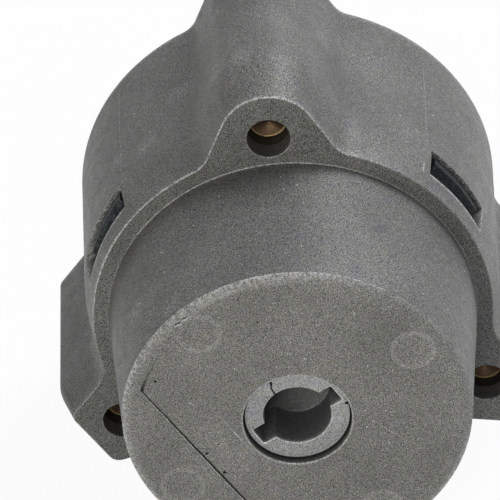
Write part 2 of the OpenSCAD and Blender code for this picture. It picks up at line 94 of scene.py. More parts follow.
def set_all(thing, **settings):
    for name, value in settings.items():
        setattr(thing, name, value)
    return thing


def in_scene(name, data):
    obj = bpy.data.objects.new(name, data)
    scene.collection.objects.link(obj)
    return obj


back = Vector((sin(SPIN) * sin(TILT), -cos(TILT), cos(SPIN) * sin(TILT)))
level = Vector((cos(SPIN), 0, -sin(SPIN)))
upright = back.cross(level)
right = cos(ROLL) * level + sin(ROLL) * upright
up = cos(ROLL) * upright - sin(ROLL) * level
aim = (right * (IMAGE_PX / 2 - FLANGE_PX[0]) / FOCAL_PX
       + up * (FLANGE_PX[1] - IMAGE_PX / 2) / FOCAL_PX - back)
aim.normalize()
side = (right - right.project(aim)).normalized()
turn = Matrix((side, side.cross(aim), -aim)).transposed()

lens = set_all(bpy.data.cameras.new("photo_camera"), sensor_width=SENSOR_MM,
               lens=SENSOR_MM * FOCAL_PX / IMAGE_PX, clip_start=0.01)
camera = in_scene("photo_camera", lens)
camera.matrix_world = Matrix.Translation(DISTANCE * back) @ turn.to_4x4()
scene.camera = camera
scene.view_settings.view_transform = "Standard"
print("camera at mm", [round(v / MM) for v in camera.location], "lens", round(lens.lens))

# %% [markdown]
# ## Small tools for building materials
#
# A finish could be a picture wrapped around the object, but a picture has a fixed sharpness and needs an
# unwrapped surface. Each finish here is a tree of nodes, worked out anew at every point. These helpers work
# on the tree that was started last: they add nodes, connect them, and do sums with values and colours.

# %% Node helpers
bench = {}


def start(tree):
    bench["tree"] = tree
    return tree


def feed(node, values):
    for key, value in values.items():
        if isinstance(value, bpy.types.NodeSocket):
            bench["tree"].links.new(value, node.inputs[key])
        else:
            node.inputs[key].default_value = value


def add(kind, values=(), **settings):
    node = set_all(bench["tree"].nodes.new(kind), **settings)
    feed(node, dict(values))
    return node


def calc(operation, first, second):
    return add("ShaderNodeMath", {0: first, 1: second}, operation=operation).outputs[0]


def times(product, *factors):
    for factor in factors:
        product = calc("MULTIPLY", product, factor)
    return product


def span(value, low, high, dark=0.0, light=1.0):
    values = dict(enumerate((value, low, high, dark, light)))
    return add("ShaderNodeMapRange", values, interpolation_type="SMOOTHSTEP").outputs[0]


def mixed(factor, first, second):
    return add("ShaderNodeMix", {0: factor, 6: first, 7: second}, data_type="RGBA").outputs[2]


def tinted(colour, tone):
    return add("ShaderNodeVectorMath", {0: colour, "Scale": tone}, operation="SCALE").outputs[0]


def axes(vector):
    return add("ShaderNodeSeparateXYZ", {0: vector}).outputs


print("node helpers ready")

# %% [markdown]
# Cast skin, plastic and paper are all uneven in the same way: soft patches of chance, wide and fine. Noise
# gives such patches. It reads the object's own coordinates in millimetres, so the grain keeps its real size.
# A mottled value is a noise whose usual range is spread between two limits.

# %% Texture helpers
NOISE_RANGE = (0.3, 0.7)


def millimetres(scale=(1, 1, 1)):
    values = {0: add("ShaderNodeTexCoord").outputs["Object"], 1: [s / MM for s in scale]}
    return add("ShaderNodeVectorMath", values, operation="MULTIPLY").outputs[0]


def noise(where, per_mm, detail=2.0):
    values = {"Vector": where, "Scale": per_mm, "Detail": detail}
    return add("ShaderNodeTexNoise", values).outputs["Fac"]


def mottled(where, per_mm, detail, dark, light):
    return span(noise(where, per_mm, detail), *NOISE_RANGE, dark, light)


def bump(shader, height, depth_mm, strength=1.0):
    values = {"Height": height, "Distance": depth_mm * MM, "Strength": strength}
    feed(shader, {"Normal": add("ShaderNodeBump", values).outputs["Normal"]})


def new_material(name):
    material = bpy.data.materials.new(name)
    material.use_nodes = True
    return material, start(material.node_tree).nodes["Principled BSDF"]


print("texture helpers ready")

# %% [markdown]
# ## The studio
#
# Such a photograph is taken on white paper, and its background is then bleached. The floor is that paper.
# What the camera and the metal see of it is lifted nearly to pure white, so only a faint shadow stays. A
# shadow catcher could do the same, but then the metal would have no paper to mirror.

# %% Floor and world
WHITE = (1, 1, 1, 1)
ROOM = (0.01, 0.01, 0.01, 1)
LIFT = 0.95
REACH = 4.0
FLOOR_GAP = 0.0002


def seen_directly():
    rays = add("ShaderNodeLightPath").outputs
    shiny = calc("MAXIMUM", rays["Is Glossy Ray"], rays["Is Transmission Ray"])
    return calc("MAXIMUM", rays["Is Camera Ray"], shiny)


def paper_material():
    material, shader = new_material("paper")
    fibre = mottled(millimetres(), 0.02, 3, 0.88, 0.92)
    feed(shader, {"Base Color": fibre, "Roughness": 0.9, "Specular IOR Level": 0.1})
    glow = add("ShaderNodeEmission", {"Color": WHITE})
    lift = add("ShaderNodeMixShader", {
        0: times(seen_directly(), LIFT), 1: shader.outputs[0], 2: glow.outputs[0]})
    feed(material.node_tree.nodes["Material Output"], {"Surface": lift.outputs[0]})
    return material


def mesh_of(name, points, faces):
    mesh = bpy.data.meshes.new(name)
    mesh.from_pydata(points, [], faces)
    return mesh


floor_z = cad_low.z - FLOOR_GAP
square = [(x, y, floor_z) for x, y in ((-REACH, -REACH), (REACH, -REACH), (REACH, REACH), (-REACH, REACH))]
floor = in_scene("studio_floor", mesh_of("studio_floor", square, [(0, 1, 2, 3)]))
floor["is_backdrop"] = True
floor.data.materials.append(paper_material())

world = bpy.data.worlds.new("studio")
world.use_nodes = True
scene.world = world
sky = start(world.node_tree)
room_light = mixed(seen_directly(), ROOM, WHITE)
feed(sky.nodes["Background"], {"Color": room_light, "Strength": 1.0})
print("floor at z mm", round(floor_z / MM, 2))

# %% [markdown]
# The lamps are three soft boxes. A picture of a studio could light the scene too, but lamps can be moved one
# by one until each tone agrees with the photograph. The main lamp stands high on the right and a little
# behind, where the drum and the nose are brightest. A warm one, in front and low on the left, lights the
# face, and a weak one above the camera opens the holes.

# %% Lamps
def soft_box(name, place, size, watts, tint=(1, 1, 1)):
    light = bpy.data.lights.new(name, "AREA")
    lamp = in_scene(name, set_all(light, shape="DISK", size=size, energy=watts, color=tint))
    lamp.location = place
    lamp.rotation_euler = (-Vector(place)).to_track_quat("-Z", "Y").to_euler()


soft_box("main_lamp", (0.375, 0.29, 0.555), 0.45, 4.6)
soft_box("front_lamp", (-0.22, -0.7, 0.1), 0.4, 3.25, (1, 1, 0.87))
soft_box("upper_lamp", (0.1, -0.6, 0.45), 0.4, 1.05)

# %% [markdown]
# ## Cast zinc
#
# The housing is pressure die cast. Its skin is matte and grey, with a fine speckle where the metal froze
# against the die, slow clouds, a drift from olive to cool grey, and rare bright grains, which are painted
# glints. The grain reads turned coordinates, because noise is dull on planes along its own grid. Edges are
# rubbed bright, and on some of them the brightness is a painted highlight; eight spots are scuffed. Holes,
# gaps, grooves, corners, the nose's side and the flange are painted darker, as shade. A shader can guess
# edges, but the shape knows them. So each mesh carries a map of two values: the first says how worn or
# painted bright a point is, the second how far it is painted dark.

# %% Cast metal
SCUFFED = ((-17.4, -12.2, 11.7), (-12.6, -17.5, 15.6), (-2.4, 6.9, 32.8), (-5.7, 8.9, 29.9),
           (7.2, 17.4, 27.4), (-15.2, 10.0, 20.1), (-19.1, 12.8, 16.5), (-10.6, 16.2, 23.0))
SCUFF_RADII = (0.5, 2.4)
FACE_Y = (-20.0, -19.4)
FLANGE_Y = (0.2, 1.2)
GRID_TURN = (0.7, 0.4, 0.9)
SHADE_AND_DARKENING_BLACK = (0.01, 0.01, 0.01, 1)


def wear_and_shade_map():
    return axes(add("ShaderNodeUVMap", uv_map="wear_and_highlight").outputs[0])


def scuffs(where):
    strokes = span(noise(millimetres((2.6, 1.0, 1.4)), 2.6, 3), 0.46, 0.66, 0, 0.45)
    near = 0.0
    for spot in SCUFFED:
        away = add("ShaderNodeVectorMath", {0: where, 1: spot}, operation="DISTANCE")
        near = calc("MAXIMUM", near, span(away.outputs["Value"], *SCUFF_RADII, 1, 0))
    return times(strokes, near)


def speckled(where, fine, base, grain):
    clouds = mottled(where, 0.13, 4, 0.9, 1.1)
    depth = axes(where)["Y"]
    on_nose = span(depth, *FACE_Y, 0.8 * grain, grain)
    amount = times(on_nose, span(depth, *FLANGE_Y, 1.08, 0.9))
    speckle = calc("ADD", 1.0, times(amount, span(fine, *NOISE_RANGE, -1, 1)))
    olive = (1.01 * base[0], 1.015 * base[1], 0.96 * base[2], 1)
    cool = (0.99 * base[0], 0.985 * base[1], 1.04 * base[2], 1)
    hue = mixed(span(noise(where, 0.9, 4), 0.4, 0.62), olive, cool)
    return tinted(hue, times(clouds, speckle))


def cast_metal(name, base, grain, worn):
    material, shader = new_material(name)
    where = millimetres()
    values = {"Vector": where, "Rotation": GRID_TURN}
    grid = add("ShaderNodeVectorRotate", values, rotation_type="EULER_XYZ").outputs[0]
    fine = noise(grid, 9.5)
    glint = noise(grid, 7.5, 1)
    wear_and_highlight = wear_and_shade_map()
    patches = span(noise(where, 2.2, 3), 0.36, 0.6, 0.3, 1.1)
    # The map's first value, broken into patches: rubbed metal, and on some edges a painted highlight.
    patchy_wear_and_highlight = times(wear_and_highlight["X"], times(patches, span(glint, 0.36, 0.64, 0.1, 1.9)))
    # Painted glints: rare bright grains stand in for light that the rough skin catches.
    glint_areas = span(noise(where, 0.11, 1), 0.42, 0.6, 0.45, 1)
    painted_glints = times(span(glint, 0.61, 0.73, 0, 0.7), glint_areas)
    wear_scuffs_and_painted_glints = calc("MAXIMUM", patchy_wear_and_highlight, calc("MAXIMUM", painted_glints, scuffs(where)))
    # The bright colour serves rubbed metal as well as the painted glints and highlights.
    colour = mixed(wear_scuffs_and_painted_glints, speckled(where, fine, base, grain), worn)
    # Painted shade: the map's second value darkens the colour toward black.
    painted_shade_and_darkening = times(wear_and_highlight["Y"], span(fine, 0.2, 0.6, 0.8, 1))
    rough = mottled(where, 0.7, 2, 0.4, 0.52)
    feed(shader, {
        "Base Color": mixed(painted_shade_and_darkening, colour, SHADE_AND_DARKENING_BLACK),
        "Roughness": calc("SUBTRACT", rough, times(patchy_wear_and_highlight, 0.12)),
        "Metallic": 0.1,
        "Specular IOR Level": 0.13,
    })
    bump(shader, calc("ADD", fine, noise(where, 0.9)), 0.03, 0.8)
    return material


zinc = cast_metal("cast_zinc", (0.158, 0.1585, 0.157), 0.95, (0.6, 0.6, 0.62, 1))
driver_zinc = cast_metal("driver_zinc", (0.264, 0.266, 0.28), 0.7, (0.66, 0.66, 0.69, 1))
print("cast metals:", zinc.name, driver_zinc.name)

# %% [markdown]
# ## Shape of the casting
#
# Seen along its axis the drum is a circle with three ears, the top one round, the lower ones cut off flat.
# Each ear is an arc or a flat end, a straight flank and a concave fillet. Toward the rear the drum grows by
# its draft, and the ears shift out and grow, so three numbers give a section. The CAD mesh could serve, but
# up close its facets and knife edges would show, so the same sizes are drawn with finer arcs.

# %% Outline of the drum and its ears
DRUM_R = 24.0
DRUM_LEN = 29.0
PITCH_R = 25.6
EARS = (90, 210, 330)
ROUND_EAR = {"flank": 5.8, "lean": 27.54, "fillet": 3.4}
BLUNT_EAR = {"flank": 5.65, "lean": 18.0, "fillet": 4.5, "end": 4.8, "corner": 1.4}


def arc(centre, r, start, end, steps):
    angles = [radians(start + (end - start) * i / steps) for i in range(steps + 1)]
    return [centre + Vector((r * cos(a), r * sin(a))) for a in angles]


def between(first, last, steps):
    return [first.lerp(last, i / steps) for i in range(1, steps)]


def half_ear(ear, drum_r, shift, growth):
    lean, fillet = ear["lean"], ear["fillet"]
    width = ear["flank"] + growth
    facing = Vector((cos(radians(lean)), sin(radians(lean))))
    flank = Vector((facing.y, -facing.x))
    hole = Vector((0, PITCH_R + shift))
    start = hole + (width + fillet) * facing
    run = -start.dot(flank) - sqrt(start.dot(flank) ** 2 - start.dot(start) + (drum_r + fillet) ** 2)
    middle = start + run * flank
    foot = arc(middle, fillet, degrees(atan2(-middle.y, -middle.x)), lean - 180, 12)
    if "end" in ear:
        corner = hole + (width - ear["corner"]) * facing
        corner += flank * (hole.y + ear["end"] + growth - ear["corner"] - corner.y) / flank.y
        end = arc(corner, ear["corner"], lean, 90, 8)
        tip = Vector((0, end[-1].y))
        end += between(end[-1], tip, 3) + [tip]
    else:
        end = arc(hole, width, lean, 90, 16)
    return foot + between(foot[-1], end[0], 5) + end


def turned(points, angle):
    c, s = cos(radians(angle)), sin(radians(angle))
    return [Vector((c * p.x - s * p.y, s * p.x + c * p.y)) for p in points]


def section(drum_r, shift, growth):
    halves = [half_ear(ear, drum_r, shift, growth) for ear in (ROUND_EAR, BLUNT_EAR, BLUNT_EAR)]
    feet = [90 - degrees(atan2(half[0].y, half[0].x)) for half in halves]
    points = []
    for i, angle in enumerate(EARS):
        mirrored = [Vector((-p.x, p.y)) for p in reversed(halves[i][:-1])]
        points += turned(halves[i] + mirrored, angle - 90)
        points += arc(Vector((0, 0)), drum_r, angle + feet[i], angle + 120 - feet[(i + 1) % 3], 44)[1:-1]
    return points


outline = section(DRUM_R, 0, 0)
COUNT = len(outline)
normals = []
for i in range(COUNT):
    along = outline[(i + 1) % COUNT] - outline[i - 1]
    normals.append(Vector((along.y, -along.x)).normalized())
print("outline points:", COUNT)

# %% [markdown]
# ## Pulling the outline into a body
#
# A die casting has draft on every wall, and no edge is truly sharp. It could be extruded and bevelled, but a
# bevel is the same all round, and this one is worn more on one side. So the body is made of loops with the
# same number of points, which follow the ears at some depth or are circles on the same rays. Behind the
# flange the drum bends softly at a shoulder.

# %% Loops along the axis
SHOULDER = 6.0
SHOULDER_SOFT = 1.6
SHOULDER_GROWTH = (1.05, 1.3, 0.6)
DRAFT_GROWTH = (0.7, 0.14, 0.28)
PAD_R = 18.35
PAD_CHORD = 11.75


def growth_at(z):
    past = -z - SHOULDER
    bend = max(past, 0) if abs(past) > SHOULDER_SOFT else (past + SHOULDER_SOFT) ** 2 / (4 * SHOULDER_SOFT)
    near, far = (-z - bend) / SHOULDER, bend / (DRUM_LEN - SHOULDER)
    return [near * a + far * b for a, b in zip(SHOULDER_GROWTH, DRAFT_GROWTH)]


def drum_radius(z):
    return DRUM_R + growth_at(z)[0]


def eared(z, inset=0.0):
    wider, shift, growth = growth_at(z)
    points = section(DRUM_R + wider, shift, growth)
    return [(p.x - inset * n.x, p.y - inset * n.y, z) for p, n in zip(points, normals)]


corner_turn = degrees(acos(PAD_CHORD / PAD_R))
rays = [atan2(p.y, p.x) for p in outline]
for corner in (EARS[1] - corner_turn, EARS[1] + corner_turn):
    corner = radians(corner if corner < 180 else corner - 360)
    nearest = min(range(COUNT), key=lambda i: abs(rays[i] - corner))
    rays[nearest] = corner


def ringed(r, z):
    return [(r * cos(a), r * sin(a), z) for a in rays]


print("shoulder radius", round(drum_radius(-SHOULDER), 2), "rim radius", round(drum_radius(-DRUM_LEN), 2))

# %% [markdown]
# On the nose's face stands a low pad, a circle cut off by a straight chord at the lower left ear. Its step
# is clear along the chord, with a ragged groove, and dies away along the arc. A separate disc would have the
# same step everywhere, so the pad is laid with loops of the same skin, with two rays moved onto its corners.

# %% Pad on the face
FACE_Z = 20.5
PAD_STEP = 0.2
FADE_START, FADE_TURN = 2, 16
RAGGED = 0.045


def from_chord(a):
    away = abs((degrees(a) - EARS[1] + 180) % 360 - 180)
    return away - corner_turn


def step_shown(a):
    return max(0.0, min(1.0, 1 - (from_chord(a) - FADE_START) / FADE_TURN))


uneven = random.Random(8)
wobble = [uneven.uniform(-RAGGED, RAGGED) for a in rays]


def padded_ring(grow, low):
    loop = []
    for a, shift in zip(rays, wobble):
        r = PAD_R if from_chord(a) >= 0 else PAD_CHORD / cos(a - radians(EARS[1])) + shift
        z = FACE_Z - low * step_shown(a)
        loop.append(((r + grow) * cos(a), (r + grow) * sin(a), z))
    return loop


print("rays on the chord:", sum(from_chord(a) < 0 for a in rays))

# %% [markdown]
# Every closed form here, the casting as well as the tools that cut it, is a skin over such loops. It joins
# its last loop to the first, is capped at both ends, or stays an open band. Each loop brings its wear and
# dirt for the map. Points are named as one looks at the face, x to the right, y up and z to the front, and
# are turned into the part's frame at the end.

# %% Skin over loops
def to_part(p):
    return Vector((p[0], -p[2], p[1])) * MM


def net(rows, size, ends):
    pairs = [(a, a + 1) for a in range(rows - 1)]
    if ends == "joined":
        pairs.append((rows - 1, 0))
    faces = [(a * size + i, a * size + (i + 1) % size, b * size + (i + 1) % size, b * size + i)
             for a, b in pairs for i in range(size)]
    if ends == "capped":
        faces += [tuple(reversed(range(size))), tuple(range((rows - 1) * size, rows * size))]
    return faces


def marked(name, points, faces, marks, material):
    mesh = mesh_of(name, points, faces)
    layer = mesh.uv_layers.new(name="wear_and_highlight")
    for corner, mark in zip(layer.data, marks):
        corner.uv = mark
    mesh.materials.append(material)
    return in_scene(name, mesh)


def skin(name, loops, material=zinc, ends="capped"):
    size = len(loops[0][0])
    marks = []
    for loop, *values in loops:
        wear_and_highlight, shade_and_darkening = [value if isinstance(value, list) else [value] * size for value in values]
        marks += zip(wear_and_highlight, shade_and_darkening)
    points = [to_part(p) for loop, wear_and_highlight, shade_and_darkening in loops for p in loop]
    faces = net(len(loops), size, ends)
    return marked(name, points, faces, [marks[i] for face in faces for i in face], material)


def quarter(steps):
    return [radians(90 * i / steps) for i in range(steps + 1)]


print("faces of a small closed tube:", len(net(3, 4, "joined")))

# %% [markdown]
# ## Drum and flange
#
# The loops run from the rear rim up the drum, over the rounded edge of the flange and across it. Hands have
# worn the left side more: the flange's lip is bright there. Two stretches of the drum, by the lower left ear
# and right of the top ear, are darkened a little. The flange's face is painted darker, as the shade of its
# recess beside the nose. Wear could be painted by hand, but a rule of the angle is easier to change and
# stays with the shape.

# %% Drum and flange
RIM_ROUND = 0.3
LIP_ROUND = 0.13
ROOT_ROUND = 0.14
NOSE_R = 22.05
DRUM_LOOPS = (-28, -25, -21, -17, -13.5, -11, -9.5, -8.6, -7.8, -7, -6.4, -5.8, -5.2, -4.5, -3.6, -2.4, -1.3)
loops = []


def lay(points, wear_and_highlight=0, shade_and_darkening=0):
    loops.append((points, wear_and_highlight, shade_and_darkening))


def past(a, low, high):
    t = max(0.0, min(1.0, (degrees(a) % 360 - low) / (high - low)))
    return t * t * (3 - 2 * t)


def stretch(a, rise, full, drop, end):
    return past(a, rise, full) * (1 - past(a, drop, end))


def left_side(a):
    return stretch(a, 40, 95, 235, 275)


def darker_stretches(a):
    return 0.14 * stretch(a, 186, 198, 232, 250) + 0.1 * stretch(a, 58, 66, 78, 86)


def lip_wear(a):
    worn = 0.12 + 0.8 * left_side(a) * (1 - 0.75 * past(a, 156, 178))
    return worn * (0.65 + 0.35 * sin(9 * a) * sin(4 * a + 1))


def each_ray(rule):
    return [rule(a) for a in rays]


for t in quarter(3):
    lay(eared(-DRUM_LEN + RIM_ROUND * (1 - cos(t)), RIM_ROUND * (1 - sin(t))), 0.4)
for z in DRUM_LOOPS:
    lay(eared(z), 0, each_ray(darker_stretches))
lay(eared(-LIP_ROUND - 0.08), 0.05)
for t in quarter(4):
    lay(eared(LIP_ROUND * (sin(t) - 1), LIP_ROUND * (1 - cos(t))), each_ray(lip_wear))
# Painted shade: the flange's face is painted darker, as the shade of its recess beside the nose.
lay(eared(0, LIP_ROUND + 0.06), 0, 0.27)
lay(ringed(NOSE_R + ROOT_ROUND + 0.1, 0), 0, 0.31)
print("loops so far:", len(loops))

# %% [markdown]
# ## Nose
#
# The nose rises from a small fillet, whose top is painted bright as a highlight, leans in by its draft and
# ends in a crease, where a broad rounded band leads to the face. A whole quarter round would hide the
# crease, so the band is an arc that starts part of the way. The band is painted bright on the left and at
# the lower right, partly as rubbed metal and partly as a highlight, and it is stretched where the face is
# lower outside the pad.

# %% Nose and its edge
NOSE_DRAFT = 1.65
NOSE_EDGE = 1.5
EDGE_Z = 20.3
NOSE_LOOPS = (0.6, 2, 4, 7, 10, 13, 16, 18, 19.2)
CREASE_DROP = 0.8
EDGE_START = 38
EDGE_STEPS = 10
nose_top = EDGE_Z - NOSE_EDGE


def nose_radius(z):
    return NOSE_R - NOSE_DRAFT * z / nose_top


crease_z = FACE_Z - CREASE_DROP
crease_r = nose_radius(crease_z)
flat_r = NOSE_R - NOSE_DRAFT - NOSE_EDGE


def edge_rise(r):
    t = acos(max(0.0, min(1.0, (r - flat_r) / (crease_r - flat_r))) * cos(radians(EDGE_START)))
    return (sin(t) - sin(radians(EDGE_START))) / (1 - sin(radians(EDGE_START)))


# Painted highlight: a bright line along the root, at the top and upper right.
def painted_root_highlight(a):
    return (0.2 + 0.35 * left_side(a)) * (1 - past(a, 132, 152))


# Partly rubbed metal, partly painted highlight on the nose's edge band.
def band_wear_and_highlight(a):
    return 0.22 + 0.5 * left_side(a) + 0.4 * stretch(a, 288, 308, 338, 352)


def share(part, values):
    return [part * v for v in values]


# Painted shade: the root, the side and the crease of the nose are painted a little darker.
for t in quarter(4):
    root = ringed(NOSE_R + ROOT_ROUND * (1 - sin(t)), ROOT_ROUND * (1 - cos(t)))
    lay(root, share(sin(2 * t), each_ray(painted_root_highlight)), 0.1)
for z in NOSE_LOOPS:
    lay(ringed(nose_radius(z), z), 0, 0.13 - 0.005 * z)
lay(ringed(crease_r + 0.005, crease_z - 0.06), 0, 0.1)
for step in range(EDGE_STEPS + 1):
    t = radians(EDGE_START + (90 - EDGE_START) / EDGE_STEPS * step)
    r = flat_r + (crease_r - flat_r) * cos(t) / cos(radians(EDGE_START))
    ring = []
    for a in rays:
        z = crease_z + (FACE_Z - PAD_STEP * step_shown(a) - crease_z) * edge_rise(r)
        ring.append((r * cos(a), r * sin(a), z))
    lay(ring, share((1 - step / EDGE_STEPS) ** 2, each_ray(band_wear_and_highlight)))
print("loops so far:", len(loops))

# %% [markdown]
# ## Face, bearing and hollow
#
# The loops go on over the pad's groove, which is painted dark as a shadow, with one lip painted bright as a
# highlight. They cross the face, run down the bearing that the driver turns in and come back through the
# hollow to the rear rim. The last loop joins the first, so the skin is closed, as the cuts need it. The
# right half of the face is darkened a little.

# %% Face, bearing and hollow
BORE_R = 6.3
BEARING_R = 9.2
BEARING_END = 5.5
CAVITY_TOP = 17.1
CAVITY_STEP = -2.4
HOLLOW_R = 21.6
chord = [1.0 if from_chord(a) < 0 else 0.0 for a in rays]
painted_step_shadow = [c if c else 0.5 * step_shown(a) ** 3 for a, c in zip(rays, chord)]
face_right_darkening = [0.1 * (1 - left_side(a)) for a in rays]

# Painted shadow and highlight: the groove along the chord is painted dark and its lip bright.
lay(padded_ring(0.42, PAD_STEP))
lay(padded_ring(0.36, 0.19), share(0.55, chord))
lay(padded_ring(0.3, PAD_STEP), share(0.3, chord), share(0.3, painted_step_shadow))
for grow, low in ((0.26, 0.34), (0.02, 0.36), (0.0, 0.05)):
    lay(padded_ring(grow, low), 0, painted_step_shadow)
lay(padded_ring(-0.05, 0.0), 0, share(0.5, painted_step_shadow))
lay(padded_ring(-0.2, 0.0), 0, face_right_darkening)
for r in (10.4, BORE_R + 0.3):
    lay(ringed(r, FACE_Z), 0, face_right_darkening)
# Painted shade: the bore is painted dark just inside its mouth, where the gap around the driver lies.
for wider, drop, wear_and_highlight, shade_and_darkening in ((0.16, 0, 0.4, 0), (0.06, 0.05, 0.5, 0), (0, 0.2, 0, 0.3), (0, 0.5, 0, 0.55),
                                (0, 1.2, 0, 0.9), (0, 8.5, 0, 0.7), (0, FACE_Z - BEARING_END, 0, 0.2)):
    lay(ringed(BORE_R + wider, FACE_Z - drop), wear_and_highlight, shade_and_darkening)
for r, z in ((BEARING_R, BEARING_END), (BEARING_R, CAVITY_TOP), (17.8, CAVITY_TOP), (19.45, CAVITY_STEP),
             (HOLLOW_R, CAVITY_STEP), (HOLLOW_R, -12), (HOLLOW_R, -DRUM_LEN)):
    lay(ringed(r, z))
casting = skin("casting", loops, ends="joined")
print("casting faces before cutting:", len(casting.data.polygons))

# %% [markdown]
# ## Holes and marks
#
# The ears have screw holes, and the face has four round ejector marks, a few pits and six scratches. All are
# taken away by exact cuts. A plain cylinder would leave a knife edge, so each cutter is turned from a
# profile that flares at its mouth. That gives a rounded lip. The cutter's own map says how worn the lip is
# and how dark the holes and pits are painted, as shade.

# %% Round cutters and scratches
TAP_R = 2.46
HOLE_R = 2.57
MARK_R = 2.65
EJECTOR_MARKS = ((30, 16.45, FACE_Z), (125.5, 16.8, FACE_Z), (209, 16.45, EDGE_Z), (301, 16.45, FACE_Z))
PITS = ((-15.6, 7.6, 0.17), (-11.0, -3.5, 0.16), (-9.3, -6.5, 0.2), (3.4, 11.2, 0.12), (-3.0, 14.4, 0.11))
SCRATCHES = (((-10.0, 3.6), (-4.5, -6.1), 0.22, 0.05), ((-12.6, 4.4), (-11.4, 3.5), 0.3, 0.05),
             ((7.4, 0.0), (14.0, -6.3), 0.12, 0.03), ((8.1, 14.9), (8.0, 13.6), 0.22, 0.04),
             ((16.8, 0.9), (17.4, 0.0), 0.26, 0.04), ((9.9, -3.9), (10.5, -5.2), 0.16, 0.03))


def rings(profile, centre=(0, 0), steps=48):
    angles = [2 * pi * i / steps for i in range(steps)]
    return [([(centre[0] + r * cos(a), centre[1] + r * sin(a), z) for a in angles], wear_and_highlight, shade_and_darkening)
            for r, z, wear_and_highlight, shade_and_darkening in profile]


def polar(r, angle):
    return (r * cos(radians(angle)), r * sin(radians(angle)))


def scratch_tool(first, last, width, depth):
    first, last = Vector(first), Vector(last)
    across = Vector((first.y - last.y, last.x - first.x)).normalized() * width / 2
    middle = first.lerp(last, 0.5)
    shape = [first, middle - across, last, middle + across]
    low = [(*middle.lerp(p, 0.5), FACE_Z - depth) for p in shape]
    high = [(*middle.lerp(p, 1.4), FACE_Z + 0.1) for p in shape]
    return skin("scratch_tool", [(low, 0.5, 0), (high, 0.3, 0)])


tools = []
# Painted shade: each hole is painted darker with depth, nearly black where the screw's thread lies.
for ear in EARS:
    hole = [(TAP_R, -14, 0, 0.95), (TAP_R, -2.75, 0, 0.95), (HOLE_R - 0.05, -2.65, 0, 0.9),
            (HOLE_R - 0.04, -2.55, 0, 0.45), (HOLE_R - 0.03, -0.4, 0, 0.4), (HOLE_R, -0.12, 0.25, 0.2),
            (HOLE_R + 0.04, -0.04, 0.6, 0), (HOLE_R + 0.08, 0, 0.3, 0), (HOLE_R + 0.2, 0.3, 0, 0)]
    tools.append(skin("hole_tool", rings(hole, polar(PITCH_R, ear))))
for angle, r, z in EJECTOR_MARKS:
    mark = [(MARK_R - 0.75, z - 0.05, 0, 0), (MARK_R - 0.45, z - 0.045, 0.14, 0),
            (MARK_R - 0.1, z - 0.03, 0.14, 0), (MARK_R, z - 0.01, 0.2, 0),
            (MARK_R + 0.1, z + 0.06, 0.35, 0), (MARK_R + 0.3, z + 0.6, 0, 0)]
    tools.append(skin("mark_tool", rings(mark, polar(r, angle))))
# Painted shade: the pits' floors are painted dark.
for x, y, r in PITS:
    pit = [(0.35 * r, FACE_Z - 0.9 * r - 0.2, 0, 1), (0.8 * r, FACE_Z - 0.5 * r - 0.1, 0, 1),
           (r, FACE_Z + 0.02, 0.1, 0.7), (1.2 * r, FACE_Z + 0.3, 0, 0)]
    tools.append(skin("pit_tool", rings(pit, (x, y), 14)))
tools += [scratch_tool(*scratch) for scratch in SCRATCHES]
print("round cutters and scratches:", len(tools))

# %% [markdown]
# ## Windows
#
# The base's latches hold in three windows in the drum's wall. A side core tore the metal at their rear, so
# that wall is ragged, with bright crumbs. The front lip is rubbed flat, and the left window is longer and
# runs out in a slope. The walls are painted darker with depth, as shade. The front lip's brightness is
# partly rubbed metal and partly a painted highlight. A box would cut a clean slot, so each cutter is a stack
# of loops along the drum's curve, with random steps as the torn edge.

# %% Window cutters
WINDOWS = ((18, 42), (138, 166.4), (258, 282))
LONG_WINDOW = 25
WINDOW_Z = (-7.1, -2.95)
ALONG, ACROSS = 60, 8
torn = random.Random(4)


def window_loop(start, end, depth, grow, front, ragged):
    loop = []
    middle = (start + end) / 2
    half = radians(end - start) / 2 + grow / DRUM_R
    low, high = WINDOW_Z[0] - grow, WINDOW_Z[1] + grow + front
    tip = 0.012 if end - start > LONG_WINDOW else 0
    for i in range(ALONG):
        a = -half + 2 * half * i / ALONG
        loop.append((a - tip * max(0, 4 - i), low - ragged[i]))
    loop += [(half, low + (high - low) * i / ACROSS) for i in range(ACROSS)]
    loop += [(half - 2 * half * i / ALONG, high) for i in range(ALONG)]
    loop += [(-half, high + (low - high) * i / ACROSS) for i in range(ACROSS)]
    points = []
    for a, z in loop:
        r = drum_radius(z) - depth
        points.append((r * cos(radians(middle) + a), r * sin(radians(middle) + a), z))
    return points


def around_window(rear, front, ends):
    return [rear] * ALONG + [ends] * ACROSS + [front] * ALONG + [ends] * ACROSS


def crumbs(rear, others):
    return [rear * torn.random() ** 4 for i in range(ALONG)] + [others] * (ALONG + 2 * ACROSS)


